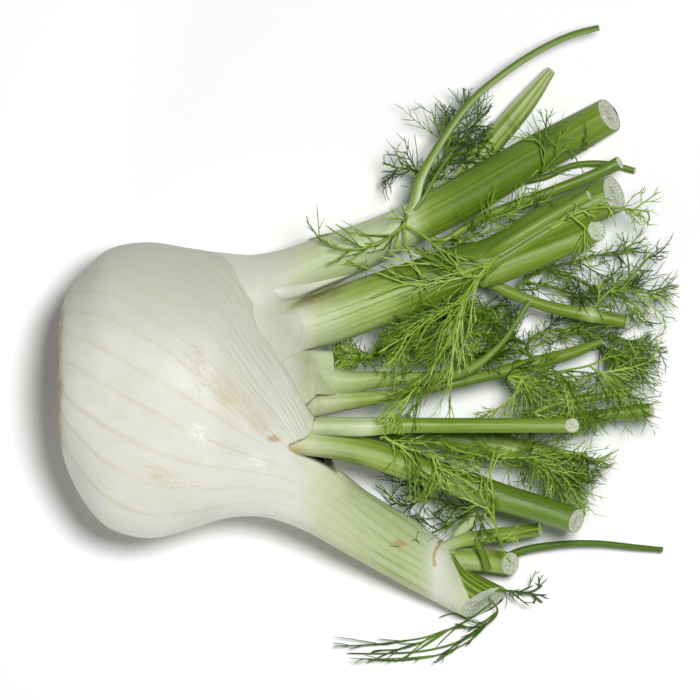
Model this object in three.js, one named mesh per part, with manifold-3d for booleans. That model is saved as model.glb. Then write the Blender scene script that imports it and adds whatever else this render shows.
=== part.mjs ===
// A Florence fennel bulb with trimmed stalks and feathery fronds, lying on its side.
//
// Millimetres. +X runs from the root plate towards the stalks, +Z is up. The origin is the middle of the
// small flat spot that the bulb rests on. The two outer stalks come down to the same level, so the whole
// bunch rests on three low places round its weight.
//
// A fennel bulb is a bunch of leaves on one root plate. Each leaf is a fleshy sheath, a ribbed stalk and
// the fronds that grow from the stalk's joints. The outermost sheath wraps the bulb, and the other leaves
// come out from behind its free edge.

import * as THREE from 'three';
import { mergeVertices } from 'three/addons/utils/BufferGeometryUtils.js';
import Module from 'manifold-3d';

const wasm = await Module();
wasm.setup();

// ---------------------------------------------------------------- driving dimensions

const GAP = 0.3;              // air between two pieces that touch
const REACH = 400;            // larger than the bunch, for blocks that cut it
const EDGE_STEPS = 36;        // straight pieces along the sheath's free edge
const STEPS_PER_POINT = 1.2;  // sections of a stalk for each point of its line
const DIRECTION_STEP = 0.002; // share of a line over which its direction is taken
const RIB = 0.035;            // height of a stalk's ribs, as a share of its radius
const STEM_ROOT = 1.1;        // radius of a frond's stem where it leaves the stalk
const STEM_TIP = 0.7;
const NEEDLE_RADIUS = 0.42;
const NEEDLE_SPACING = 4.8;   // along a frond's stem, between two pairs of needles
const NEEDLE_LENGTH = 12;     // in the middle of a stem
const NEEDLE_LEAN = 0.85;     // angle between a needle and its stem, radians
const NEEDLE_TILT = 0.9;      // spread of the angle above and below the frond's plane, radians
const NEEDLE_ATTEMPTS = 5;    // turned or shortened that often until it is clear of its neighbours
const ROOT_SHARE = 0.3;       // share of a needle that may lie close to its own stem
const TABLE_CLEARANCE = 0.6;

// A sheath follows two edges, seen from above. Each row is one section across the leaf:
// [x and y of the lower edge, x and y of the upper edge, height of the middle, half thickness].
const OUTER_SHEATH = [
  [-48, -20, -48, 26, 37, 20],
  [-46, -28, -46, 34, 37, 26],
  [-40, -40, -40, 43, 37, 31],
  [-31, -50, -31, 52, 37, 35],
  [-16, -54.5, -16, 55, 37, 37.4],
  [-2, -52, -0.5, 52.5, 37, 37.8],
  [10, -48.5, 11, 50.5, 37, 36.8],
  [17, -46.5, 20, 48, 37, 33],
  [24, -45.5, 31, 41, 36.5, 28],
  [30, -45.5, 40, 30, 36, 23.5],
  [34, -46, 47, 14, 35.5, 20.5],
  [38, -47.5, 54, 0, 35, 18.5],
  [43, -50, 58, -12, 34, 16.5],
  [48, -55, 60, -23, 32, 14.5],
  [55, -59.3, 63, -31.5, 29.5, 12.8],
  [70.5, -67.8, 73, -40.5, 23.5, 11.6],
  [84.5, -75.6, 85, -49.5, 17, 10.6],
  [93.5, -80.3, 95, -58, 13, 10],
  [98.5, -83, 103, -66.5, 10.6, 9.2],
  [102, -85, 116.5, -74, 8, 8.4],
];

const UPPER_SHEATH = [
  [-15, 10, -16, 50, 37, 14],
  [-2, 6, -2, 52, 37, 18],
  [11, 6, 11, 51, 36.5, 21.5],
  [22, 9, 22, 50, 36.5, 23],
  [30, 18, 29.5, 51, 36, 19.5],
  [36, 29, 34, 52, 35.5, 16.6],
  [43, 34.5, 40, 54, 35.5, 14.2],
  [52.5, 39, 49.5, 57.5, 34, 11.8],
  [67.5, 45.5, 63, 62, 31.5, 9.8],
  [82, 53, 77.5, 68, 28.5, 8.4],
  [103.5, 63.5, 97, 78.5, 23, 7.7],
  [126, 77.5, 120, 91.5, 16.5, 7.1],
  [148, 90, 142.5, 103, 9.5, 6.8],
  [159.5, 97, 153, 108.5, 6.4, 6.6],
];

const MIDDLE_SHEATH = [
  [10, -6, 10, 28, 37, 18],
  [18, -2, 17, 33, 37, 19],
  [27, 4, 25, 35, 36.5, 19],
  [35, 10, 31, 34.5, 36, 17],
  [42, 14, 38.5, 33.5, 36, 12.6],
  [53.5, 17, 48, 36, 36, 10],
  [67.5, 22, 61.5, 41, 35.5, 9.3],
  [85, 29, 79.5, 47, 34.5, 9],
  [103.5, 36.5, 97.5, 53, 33.5, 8.8],
  [115.5, 42, 109, 56, 33, 8.4],
  [137, 55, 130, 68.5, 33, 7.2],
  [159.5, 66, 154.5, 79, 33, 6.8],
];

// The free edge of the outermost sheath, seen from above, from the bulb's upper outline to the lower stalk.
const SHEATH_EDGE = [
  [60, 72], [44, 58], [31, 44], [24.5, 33], [25.5, 24], [31, 16], [35.5, 8.5], [40, 0.5], [43.5, -6],
  [46.5, -11], [46, -15], [44, -18.5], [47.5, -25.5], [54.5, -33], [64, -40],
];

// A stalk follows one line. Each point is [x, y, z, radius].
const HIGH_ARM = [
  [79, 63.5, 33, 2.2], [82.5, 68, 32, 2.1], [85.5, 78.5, 31, 1.8], [93, 92, 29, 1.5],
  [103.5, 106.5, 27, 1.4], [115.5, 117, 25, 1.3], [129, 126, 23, 1.25], [141.5, 132, 21, 1.2],
  [152, 135, 19, 1.1],
];
const FINE_SHOOT = [
  [86.5, 59, 26, 1.6], [92, 55, 25, 1.4], [102, 60, 24, 1.6], [111, 65, 24, 1.8],
  [125.5, 70.5, 24, 1.9], [151.5, 80.5, 24, 2.2], [159.5, 84.5, 24, 2.5],
];
const MIDDLE_SHOOT = [
  [106.5, 42, 34, 4.6], [114.5, 45, 34.5, 5.6], [133, 52, 35.5, 5], [150.5, 59, 36.5, 4],
];
const MIDDLE_TWIG = [
  [109, 49, 40, 1.6], [116, 53.5, 42.5, 1.9], [131.5, 63, 42.5, 1.9], [147.5, 72, 42, 1.9],
];
const SIDE_STALK = [
  [107.5, 42, 30, 1.8], [117.5, 36.5, 28, 2.2], [125, 33.5, 26.5, 2.1], [134.5, 30.5, 25, 2.2],
  [144.5, 28.5, 23.5, 2.5], [148.5, 28, 23, 3], [153.5, 27, 22.5, 2.6], [162.5, 25, 21.5, 2.6],
];
const FAR_LEAF = [
  [40.5, 33.5, 24, 2.4], [63, 47.5, 16, 2.6], [87, 63, 12, 2.8], [100, 77.5, 11, 3.6],
  [115.5, 96, 10, 4.2], [126, 108.5, 8.5, 3.6], [134.5, 119.5, 7, 1.8],
];
const FAR_TWIG = [
  [98, 74.5, 11, 1.4], [107.5, 74, 6, 1.2], [120, 77, 3, 1.2], [132, 79.5, 3, 1.2], [143, 84, 3.5, 1.2],
  [155.5, 84.5, 4, 1.2], [166, 82, 4, 1.1],
];
const INNER_LEAF = [
  [29.5, -2, 37, 9], [40.5, 4.5, 37, 10.5], [50, 7.5, 37, 7.5], [58.5, 5.5, 37, 4.6],
  [68.5, 4.5, 37, 3.2], [77.5, 4, 37, 2.6], [92.5, 5, 37, 2.4], [103, 7.5, 37, 2.4],
  [114.5, 16.5, 37, 1.3], [126, 33, 36, 1.1],
];
const HEART_LEAF = [
  [29.5, -7.5, 33, 4], [46, -4.5, 34.5, 4.2], [57.5, -3.5, 35, 3.2], [70.5, -2.5, 34, 2.4],
  [92.5, 1.5, 31, 1.9], [111, 5.5, 28, 2], [129.5, 10.5, 25, 2.3], [142.5, 14, 23, 2.1],
  [153, 18, 21.5, 1.1],
];
const FRONT_STALK = [
  [31.5, -15.5, 42, 3], [46.5, -13.5, 45, 3.4], [63, -13.5, 47, 3.6], [76, -13, 48, 3],
  [96, -13, 49, 2.8], [141, -13, 50, 2.7],
];
const LOWER_STALK = [
  [26.5, -18.5, 32, 3], [40.5, -21, 33, 4], [55.5, -24.5, 34, 4.4], [77.5, -29, 35, 4.8],
  [96, -33, 35.5, 5.4], [114.5, -39.5, 35.5, 5.2], [133, -45, 35, 4.8], [143, -48.5, 34.5, 4.6],
];
const BACK_STALK = [
  [37, -15, 27, 2.6], [55.5, -15, 26, 3.6], [77.5, -16, 24, 4.2], [96, -18, 23, 4.4],
  [114.5, -21, 22, 4.6], [129.5, -24.5, 21, 4.4], [147, -28.5, 20, 4.4],
];
const BACK_BRANCH = [
  [92.5, -17, 23, 2.4], [107.5, -15.5, 23, 2.6], [122, -13.5, 23, 2.6], [171.5, -7.5, 23, 2.5],
];
const BACK_TWIG = [
  [114.5, -19, 23, 1.5], [126, -9.5, 26.5, 1.4], [137, -5, 26, 1.5], [164.5, -1, 25, 1.4],
];
const LOWER_SHOOT = [
  [92.5, -64, 14, 4.6], [100.5, -63.5, 14, 4.6], [109, -64, 13, 4.4], [119, -65, 12, 4.3],
];
const LOWER_BRANCH = [
  [92.5, -60, 19, 2.2], [101, -56, 21, 2.5], [107.5, -55, 21, 2.7], [118.5, -53.5, 20, 2.6],
  [130, -52, 19, 2.5],
];
const LOWER_TWIG = [
  [95.5, -61.5, 18, 2], [100.5, -53, 20, 2], [104.5, -49, 21, 1.9], [107.5, -45, 22, 1.8],
];
const LOWER_ARM = [
  [109, -65, 11, 1.7], [113, -65, 8, 1.5], [123, -60.5, 7, 1.5], [137, -58, 7.5, 1.3],
  [151.5, -57.5, 7.5, 1.1], [166.5, -59, 6, 1], [176.5, -60, 4.5, 0.9],
];
const LOWER_FLAP = [
  [104.5, -53.5, 22, 1.2], [107, -57.5, 23, 1.2], [109, -62, 22, 1.4], [110.5, -67, 19.5, 1.6],
];

// The margin of the upper leaf's sheath curls over the middle leaf in a short lobe.
const SHEATH_LOBE = [
  [60, 43, 36.5, 0.8], [50, 38.2, 41, 1.5], [43, 35.5, 43.8, 2.1], [37, 33.6, 46.3, 2.5],
  [33, 33.6, 48.6, 2.3], [30.5, 35.6, 50.6, 1.6], [29.6, 38.5, 51.4, 0.6],
];
// A short leaf of the heart is cut off square beside the inner leaf.
const HEART_BLOCK = [[28, 4, 37, 7.2], [36, 7.2, 38.5, 7.4], [44, 8.6, 38.5, 7], [51, 9.8, 38, 6.2]];

// Each frond is a list of stems, and each stem a list of [x, y, z]. The first stem starts in the stalk that
// carries the frond, and the others branch from it.
const FRONDS = {
  frond_high: [
    [[82.5, 67.5, 27], [89, 78.5, 20], [96, 86, 15], [106.5, 91.5, 12], [119, 89.5, 9]],
    [[89, 78.5, 20], [91, 90.5, 17], [93, 102.5, 14]],
    [[96, 86, 15], [104.5, 98, 12], [111.5, 104.5, 10]],
    [[89, 78.5, 20], [81.5, 82, 19], [74.5, 83, 18]],
  ],
  frond_front: [
    [[80.5, 66, 33], [79, 61, 42], [74, 56.5, 44.5], [66.5, 53, 46], [57.5, 52, 47.5], [47.5, 55, 49]],
    [[79, 61, 42], [80.5, 52, 44], [85, 42.5, 46.5], [88, 36.5, 47.5]],
    [[79, 61, 42], [85, 58, 43], [92.5, 52, 45.5], [103, 47.5, 47.5]],
    [[86.5, 39.5, 47], [77.5, 38.5, 48], [67, 34, 49]],
  ],
  frond_sweep: [
    [
      [114, 49.5, 41], [106.5, 42, 46], [100.5, 32.5, 47.5], [97, 20.5, 46], [89, 8, 44.5],
      [80, -3, 49], [75.5, -7.5, 52.5],
    ],
    [[100.5, 32.5, 47.5], [92.5, 29, 47.5], [79.5, 19, 46]],
    [[106.5, 42, 46], [98, 43.5, 47], [88, 47.5, 47]],
  ],
  frond_heart: [
    [
      [54, 7.5, 33], [57.5, 10.5, 28], [66.5, 12.5, 27], [77.5, 14, 25], [92.5, 17.5, 23],
      [109, 21.5, 22],
    ],
    [[77.5, 14, 25], [87, 24, 20], [98, 29, 17], [114.5, 29.5, 14]],
    [[66.5, 12.5, 27], [72, 18, 25], [77.5, 20.5, 23]],
    [[92.5, 17.5, 23], [103.5, 13, 23], [116.5, 14, 22]],
  ],
  frond_gap: [
    [
      [96, 57.5, 24.5], [102, 55.5, 28], [107.5, 62, 29], [116.5, 65, 29], [126.5, 69, 28.5],
      [137, 71, 28],
    ],
    [[102, 55.5, 28], [96, 51, 29]],
    [[116.5, 65, 29], [122, 63, 30], [133, 66, 30]],
  ],
  frond_right: [
    [[148.5, 29, 24], [156, 37, 25], [163, 41.5, 23], [172, 51, 20]],
    [[156, 37, 25], [166.5, 36.5, 22], [176, 35, 20]],
    [[156, 37, 25], [164.5, 32, 22], [170, 25, 18]],
  ],
  frond_behind: [
    [
      [120, 36.5, 27], [124, 40.5, 18], [131.5, 45, 14], [141.5, 47.5, 12], [155.5, 51, 10],
      [166.5, 52.5, 9],
    ],
    [[131.5, 45, 14], [141.5, 42, 12], [154.5, 37, 10], [166.5, 40, 8]],
    [[124, 40.5, 18], [137, 37.5, 11], [151.5, 33.5, 8]],
  ],
  frond_centre: [
    [
      [113.5, 6, 27.5], [123, 4.5, 26], [131.5, 3.5, 27], [137, 6.5, 27], [148, 9, 26], [163, 13.5, 23],
      [169.5, 12, 21],
    ],
    [[123, 4.5, 26], [120, -2, 27], [113, -8, 27]],
    [[123, 4.5, 26], [126, -2, 27], [127.5, -9, 27]],
    [[137, 6.5, 27], [140.5, 0, 27], [141.5, -8, 26]],
    [[148, 9, 26], [157, 4.5, 24], [170, 2, 21]],
  ],
  frond_under: [
    [[127.5, 10.5, 25], [125, 16.5, 18], [133, 22, 14], [146, 20.5, 12], [161, 19, 9], [169.5, 12, 6]],
    [[125, 16.5, 18], [116.5, 22, 13], [107.5, 26, 9]],
    [[146, 20.5, 12], [155.5, 15, 8], [162, 6.5, 5]],
  ],
  frond_low_right: [
    [
      [92.5, -18.5, 26], [98, -22, 29], [103.5, -23.5, 29], [114.5, -25, 28.5], [127, -25, 28],
      [140.5, -23.5, 28], [153, -26.5, 27],
    ],
    [[127, -25, 28], [137, -29.5, 26.5], [144.5, -37, 22]],
    [[127, -25, 28], [131.5, -31.5, 25], [139, -39, 20]],
  ],
  frond_low_mid: [
    [[73.5, -13.5, 46], [72, -17, 43], [77, -20, 43], [89.5, -24, 43], [103.5, -28, 43]],
    [[89.5, -24, 43], [91, -29.5, 43], [92.5, -35, 42.5]],
    [[77, -20, 43], [83, -26.5, 42.5], [86.5, -33.5, 42]],
  ],
  frond_low_back: [
    [
      [106, -40.5, 32], [104.5, -45, 22], [98, -43, 15], [89, -40.5, 13], [79.5, -43.5, 11],
      [73.5, -40.5, 10],
    ],
    [[104.5, -45, 22], [96, -50.5, 13], [87, -55, 10], [82, -57.5, 8]],
    [[89, -40.5, 13], [85, -35.5, 12], [77.5, -32, 11]],
  ],
  frond_pale: [
    [
      [113.5, -54.5, 21.5], [115.5, -57.5, 30], [112.5, -48, 39], [112, -39, 42.5], [111, -29.5, 43],
      [113, -21.5, 42],
    ],
    [[112.5, -48, 39], [109.5, -42.5, 42], [106.5, -36.5, 43]],
    [[115.5, -57.5, 30], [122, -53, 30], [132.5, -51, 28]],
  ],
  frond_bottom: [
    [
      [110, -76.5, 9], [114.5, -83, 8], [109, -89, 5], [100, -94.5, 3], [87, -98, 2], [72, -99, 2],
      [58, -99, 1.5],
    ],
    [[114.5, -83, 8], [107.5, -87.5, 5.5], [98, -84, 3], [92.5, -85.5, 2.5]],
    [[109, -89, 5], [98, -89.5, 2.5], [87, -93, 2], [74.5, -95, 1.5]],
  ],
  frond_tip: [
    [[111.5, -75, 10], [120, -75.5, 7], [126.5, -76, 4], [131.5, -73.5, 3]],
    [[126.5, -76, 4], [131.5, -80, 2]],
  ],
  frond_sparse_top: [
    [[129.5, 85, 18], [130.5, 80.5, 23], [131.5, 89, 25.5], [124.5, 96, 25]],
    [[130.5, 80.5, 23], [139, 89, 24], [146.5, 89, 21]],
  ],
  frond_sparse_mid: [
    [[131.5, 59, 38], [140.5, 64.5, 43], [151.5, 67.5, 42], [170, 66, 38]],
    [[140.5, 64.5, 43], [146, 60, 43], [148, 56, 42]],
  ],
};

// ---------------------------------------------------------------- solids

function toSolid(geometry) {
  geometry.deleteAttribute('normal');
  geometry.deleteAttribute('uv');
  const merged = mergeVertices(geometry, 1e-4);
  return new wasm.Manifold(new wasm.Mesh({
    numProp: 3,
    vertProperties: new Float32Array(merged.attributes.position.array),
    triVerts: new Uint32Array(merged.index.array),
  }));
}

function toGeometry(solid) {
  const mesh = solid.getMesh();
  const geometry = new THREE.BufferGeometry();
  geometry.setAttribute('position', new THREE.BufferAttribute(mesh.vertProperties, 3));
  geometry.setIndex(new THREE.BufferAttribute(mesh.triVerts, 1));
  geometry.computeVertexNormals();
  return geometry;
}

const join = (solids) => solids.reduce((sum, solid) => sum.add(solid));

// The largest of a solid's separate bodies, without the scraps that a cut leaves.
function mainBody(solid) {
  return solid.decompose().reduce((best, body) => (body.volume() > best.volume() ? body : best));
}

// Bends a closed cylinder to a line of sections. sectionAt(t) gives the section's middle, its two half axes
// as vectors and the direction of the line. grow makes the form larger all round.
function bend(sides, steps, rib, grow, sectionAt) {
  const geometry = new THREE.CylinderGeometry(1, 1, 1, sides, steps);
  const position = geometry.attributes.position;
  const local = new THREE.Vector3();
  for (let i = 0; i < position.count; i += 1) {
    local.fromBufferAttribute(position, i);
    const along = local.y + 0.5;
    const { middle, side, up, forward } = sectionAt(along);
    const angle = Math.atan2(local.x, local.z);
    const ribbed = 1 + rib * Math.cos(angle * sides / 2);
    const wide = side.length() * ribbed + grow;
    const deep = up.length() * ribbed + grow;
    const ends = along < 0.001 ? -grow : along > 0.999 ? grow : 0;
    const point = middle.clone()
      .addScaledVector(side.normalize(), local.x * wide)
      .addScaledVector(up.normalize(), local.z * deep)
      .addScaledVector(forward, ends);
    position.setXYZ(i, point.x, point.y, point.z);
  }
  return toSolid(geometry);
}

// A smooth curve through the rows of a table, all columns together. Each row takes an equal share of t.
function through(rows) {
  const knots = [0];
  for (let i = 1; i < rows.length; i += 1) {
    const change = Math.hypot(...rows[i].map((value, column) => value - rows[i - 1][column]));
    knots.push(knots[i - 1] + Math.sqrt(change));
  }
  const curve = new THREE.CubicInterpolant(knots, rows.flat(), rows[0].length);
  return (t) => {
    const place = t * (rows.length - 1);
    const span = THREE.MathUtils.clamp(Math.floor(place), 0, rows.length - 2);
    return [...curve.evaluate(knots[span] + (knots[span + 1] - knots[span]) * (place - span))];
  };
}

// The direction of a line at t, from its middles just before and after.
function directionOf(middleAt, t) {
  const before = middleAt(Math.max(t - DIRECTION_STEP, 0));
  return middleAt(Math.min(t + DIRECTION_STEP, 1)).sub(before).normalize();
}

// A leaf sheath between its two edges, with an oval section.
function sheath(rows, sides, steps, rib) {
  const rowAt = through(rows);
  const middleAt = (t) => {
    const [xl, yl, xh, yh, z] = rowAt(t);
    return new THREE.Vector3((xl + xh) / 2, (yl + yh) / 2, z);
  };
  return (grow) => bend(sides, steps, rib, grow, (t) => {
    const [xl, yl, xh, yh, , depth] = rowAt(t);
    const forward = directionOf(middleAt, t);
    const side = new THREE.Vector3((xl - xh) / 2, (yl - yh) / 2, 0);
    const up = side.clone().cross(forward).normalize().multiplyScalar(depth);
    return { middle: middleAt(t), side, up, forward };
  });
}

// A round stalk along a line.
function stalk(route, sides = 10, rib = RIB) {
  const pointAt = through(route);
  const middleAt = (t) => new THREE.Vector3(...pointAt(t));
  const steps = Math.round(route.length * STEPS_PER_POINT);
  return (grow) => bend(sides, steps, rib, grow, (t) => {
    const forward = directionOf(middleAt, t);
    const size = pointAt(t)[3];
    const side = forward.clone().cross(new THREE.Vector3(0, 0, 1)).normalize();
    const up = side.clone().cross(forward).multiplyScalar(size);
    return { middle: middleAt(t), side: side.multiplyScalar(size), up, forward };
  });
}

// ---------------------------------------------------------------- leaves

const LEAVES = {
  bulb: {
    colour: 0xe4e6d6,
    forms: [
      (grow) => withinSheathEdge(sheath(OUTER_SHEATH, 28, 28, 0)(grow), grow),
      stalk(LOWER_SHOOT), stalk(LOWER_BRANCH, 8), stalk(LOWER_TWIG, 8), stalk(LOWER_ARM, 6, 0),
      stalk(LOWER_FLAP, 6, 0),
    ],
  },
  upper_leaf: {
    colour: 0xc4d29a,
    forms: [
      sheath(UPPER_SHEATH, 16, 20, RIB), stalk(SHEATH_LOBE, 8, 0), stalk(HIGH_ARM, 8, 0),
      stalk(FINE_SHOOT, 8),
    ],
  },
  middle_leaf: {
    colour: 0xb9cc8c,
    forms: [
      sheath(MIDDLE_SHEATH, 16, 16, RIB), stalk(MIDDLE_SHOOT), stalk(MIDDLE_TWIG, 6, 0),
      stalk(SIDE_STALK, 8),
    ],
  },
  inner_leaf: { colour: 0xdde2c8, forms: [stalk(INNER_LEAF), stalk(HEART_BLOCK, 8, 0)] },
  front_stalk: { colour: 0x93ae52, forms: [stalk(FRONT_STALK, 12)] },
  lower_stalk: { colour: 0x86a548, forms: [stalk(LOWER_STALK, 12)] },
  heart_leaf: { colour: 0x9db565, forms: [stalk(HEART_LEAF, 8)] },
  back_stalk: {
    colour: 0x7f9f45,
    forms: [stalk(BACK_STALK), stalk(BACK_BRANCH, 8), stalk(BACK_TWIG, 6, 0)],
  },
  far_leaf: { colour: 0x8fab55, forms: [stalk(FAR_LEAF), stalk(FAR_TWIG, 6, 0)] },
};

// What lies behind the outermost sheath's free edge is open, for the other leaves to come out of.
function withinSheathEdge(solid, grow) {
  const edge = new THREE.SplineCurve(SHEATH_EDGE.map(([x, y]) => new THREE.Vector2(x + grow, y + grow)));
  const outline = [
    ...edge.getPoints(EDGE_STEPS),
    new THREE.Vector2(REACH, SHEATH_EDGE.at(-1)[1]),
    new THREE.Vector2(REACH, -REACH),
    new THREE.Vector2(-REACH, -REACH),
    new THREE.Vector2(-REACH, REACH),
    new THREE.Vector2(SHEATH_EDGE[0][0] + grow, REACH),
  ];
  const block = new THREE.ExtrudeGeometry(new THREE.Shape(outline), { depth: REACH, bevelEnabled: false });
  return solid.intersect(toSolid(block.translate(0, 0, -REACH / 2)));
}

const aboveTable = toSolid(new THREE.BoxGeometry(2 * REACH, 2 * REACH, REACH).translate(0, 0, REACH / 2));

const group = new THREE.Group();

function addPiece(name, solid, colour) {
  const material = new THREE.MeshStandardMaterial({ color: colour, roughness: 0.55, metalness: 0 });
  const mesh = new THREE.Mesh(toGeometry(solid), material);
  mesh.name = name;
  group.add(mesh);
}

// Each leaf is cut clear of the leaves before it, which are nearer the outside of the bunch.
let taken = null;
for (const [name, { colour, forms }] of Object.entries(LEAVES)) {
  const whole = join(forms.map((form) => form(0))).intersect(aboveTable);
  addPiece(name, mainBody(taken ? whole.subtract(taken) : whole), colour);
  const grown = join(forms.map((form) => form(GAP)));
  taken = taken ? taken.add(grown) : grown;
}

// ---------------------------------------------------------------- fronds

// Every stalk, stem and needle so far, as a line with a radius, so that new needles keep clear of them.
const occupied = [];

function occupy(points, radii, owner) {
  for (let i = 1; i < points.length; i += 1) {
    const line = new THREE.Line3(points[i - 1], points[i]);
    occupied.push({ line, radius: Math.max(radii[i - 1], radii[i]), owner });
  }
}

for (const rows of [OUTER_SHEATH, UPPER_SHEATH, MIDDLE_SHEATH]) {
  const middles = rows.map(([xl, yl, xh, yh, z]) => new THREE.Vector3((xl + xh) / 2, (yl + yh) / 2, z));
  const radii = rows.map(([xl, yl, xh, yh, , depth]) => Math.min(depth, Math.hypot(xh - xl, yh - yl) / 2));
  occupy(middles, radii, 'leaf');
}
const ROUTES = [
  HIGH_ARM, FINE_SHOOT, MIDDLE_SHOOT, MIDDLE_TWIG, SIDE_STALK, FAR_LEAF, FAR_TWIG, INNER_LEAF, HEART_LEAF,
  FRONT_STALK, LOWER_STALK, BACK_STALK, BACK_BRANCH, BACK_TWIG, LOWER_SHOOT, LOWER_BRANCH, LOWER_TWIG,
  LOWER_ARM, LOWER_FLAP, HEART_BLOCK,
];
for (const route of ROUTES) {
  occupy(route.map(([x, y, z]) => new THREE.Vector3(x, y, z)), route.map((point) => point[3]), 'leaf');
}

// A needle's root may touch what its own frond is made of, and nothing else may.
function isClear(line, radius, owner) {
  const outer = new THREE.Line3(line.at(ROOT_SHARE, new THREE.Vector3()), line.end);
  return occupied.every((other) => {
    const tested = other.owner === owner ? outer : line;
    return Math.sqrt(tested.distanceSqToLine3(other.line)) > radius + other.radius + GAP;
  });
}

// Random numbers from 0 to 1 that are the same on every run.
function randomFrom(seed) {
  let state = seed;
  return () => {
    state = (state + 0x6d2b79f5) | 0;
    let mixed = Math.imul(state ^ (state >>> 15), 1 | state);
    mixed = (mixed + Math.imul(mixed ^ (mixed >>> 7), 61 | mixed)) ^ mixed;
    return ((mixed ^ (mixed >>> 14)) >>> 0) / 4294967296;
  };
}

function needle(line) {
  const along = line.delta(new THREE.Vector3());
  const cone = new THREE.ConeGeometry(NEEDLE_RADIUS, along.length(), 3);
  const turn = new THREE.Quaternion().setFromUnitVectors(new THREE.Vector3(0, 1, 0), along.normalize());
  cone.applyQuaternion(turn);
  const middle = line.getCenter(new THREE.Vector3());
  return toSolid(cone.translate(middle.x, middle.y, middle.z));
}

// Needles in pairs along a stem, longest in its middle, each turned or shortened until it is clear.
function needlesAlong(points, owner, random) {
  const stem = new THREE.CatmullRomCurve3(points);
  const pairs = Math.max(2, Math.round(stem.getLength() / NEEDLE_SPACING));
  const solids = [];
  for (let i = 0; i < pairs * 2; i += 1) {
    const t = Math.min((i / 2 + 0.7) / (pairs + 0.2), 1);
    const root = stem.getPointAt(t);
    const forward = stem.getTangentAt(t);
    const side = forward.clone().cross(new THREE.Vector3(0, 0, 1)).normalize();
    side.multiplyScalar(i % 2 ? 1 : -1);
    const up = forward.clone().cross(side).normalize();
    const fullness = 0.55 + 0.45 * Math.sin(Math.PI * (0.1 + 0.85 * t));
    for (let attempt = 0; attempt < NEEDLE_ATTEMPTS; attempt += 1) {
      const ease = attempt / NEEDLE_ATTEMPTS;
      const lean = NEEDLE_LEAN * (0.7 + 0.6 * random());
      const tilt = NEEDLE_TILT * (random() - 0.5) * (1 + 3 * ease);
      const length = NEEDLE_LENGTH * fullness * (0.75 + 0.5 * random()) * (1 - 0.65 * ease);
      const direction = forward.clone().multiplyScalar(Math.cos(lean))
        .addScaledVector(side, Math.sin(lean) * Math.cos(tilt))
        .addScaledVector(up, Math.sin(lean) * Math.sin(tilt));
      const tip = root.clone().addScaledVector(direction, length);
      tip.z = Math.max(tip.z, TABLE_CLEARANCE);
      const line = new THREE.Line3(root, tip);
      if (isClear(line, NEEDLE_RADIUS, owner)) {
        occupied.push({ line, radius: NEEDLE_RADIUS, owner });
        solids.push(needle(line));
        break;
      }
    }
  }
  return solids;
}

// All stems are laid first, so that every frond's needles keep clear of every other frond's stems.
for (const [name, stems] of Object.entries(FRONDS)) {
  for (const points of stems) {
    occupy(points.map((p) => new THREE.Vector3(...p)), points.map(() => STEM_ROOT), name);
  }
}

Object.entries(FRONDS).forEach(([name, stems], index) => {
  const random = randomFrom(index + 1);
  const solids = [];
  stems.forEach((points, order) => {
    const root = order === 0 ? STEM_ROOT : (STEM_ROOT + STEM_TIP) / 2;
    const radii = points.map((_, i) => root + (STEM_TIP - root) * i / (points.length - 1));
    solids.push(stalk(points.map((p, i) => [...p, radii[i]]), 4, 0)(0));
    solids.push(...needlesAlong(points.map((p) => new THREE.Vector3(...p)), name, random));
  });
  addPiece(name, mainBody(join(solids).subtract(taken)), 0x5f8a2e);
});

export default group;
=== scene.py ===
"""The looks of a Florence fennel bulb with trimmed stalks and feathery fronds, lying on its side.

Every leaf and frond of the frame is replaced by a finer mesh on the same lines. Measures are in
millimetres in the tables, and metres in the scene.
"""
import math
from collections import namedtuple
from functools import partialmethod

import bpy
import numpy as np
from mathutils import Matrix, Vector
from mathutils.bvhtree import BVHTree


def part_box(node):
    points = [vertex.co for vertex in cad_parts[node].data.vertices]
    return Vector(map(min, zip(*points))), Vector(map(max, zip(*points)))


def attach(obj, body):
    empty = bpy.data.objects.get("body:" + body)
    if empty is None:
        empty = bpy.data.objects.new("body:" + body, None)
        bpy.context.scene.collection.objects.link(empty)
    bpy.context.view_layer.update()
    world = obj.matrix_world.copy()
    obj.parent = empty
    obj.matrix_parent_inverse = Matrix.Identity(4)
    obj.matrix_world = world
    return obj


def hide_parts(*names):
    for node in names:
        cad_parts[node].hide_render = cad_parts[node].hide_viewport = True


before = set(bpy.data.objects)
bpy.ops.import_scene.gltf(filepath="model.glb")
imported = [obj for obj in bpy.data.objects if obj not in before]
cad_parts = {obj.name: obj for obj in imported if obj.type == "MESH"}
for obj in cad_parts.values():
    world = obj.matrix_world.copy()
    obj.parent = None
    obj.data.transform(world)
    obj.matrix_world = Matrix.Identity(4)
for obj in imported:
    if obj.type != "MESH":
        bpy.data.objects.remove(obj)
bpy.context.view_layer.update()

MM = 0.001
TAU = 2 * math.pi

# ---------------------------------------------------------------- the lines that the leaves follow

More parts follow.
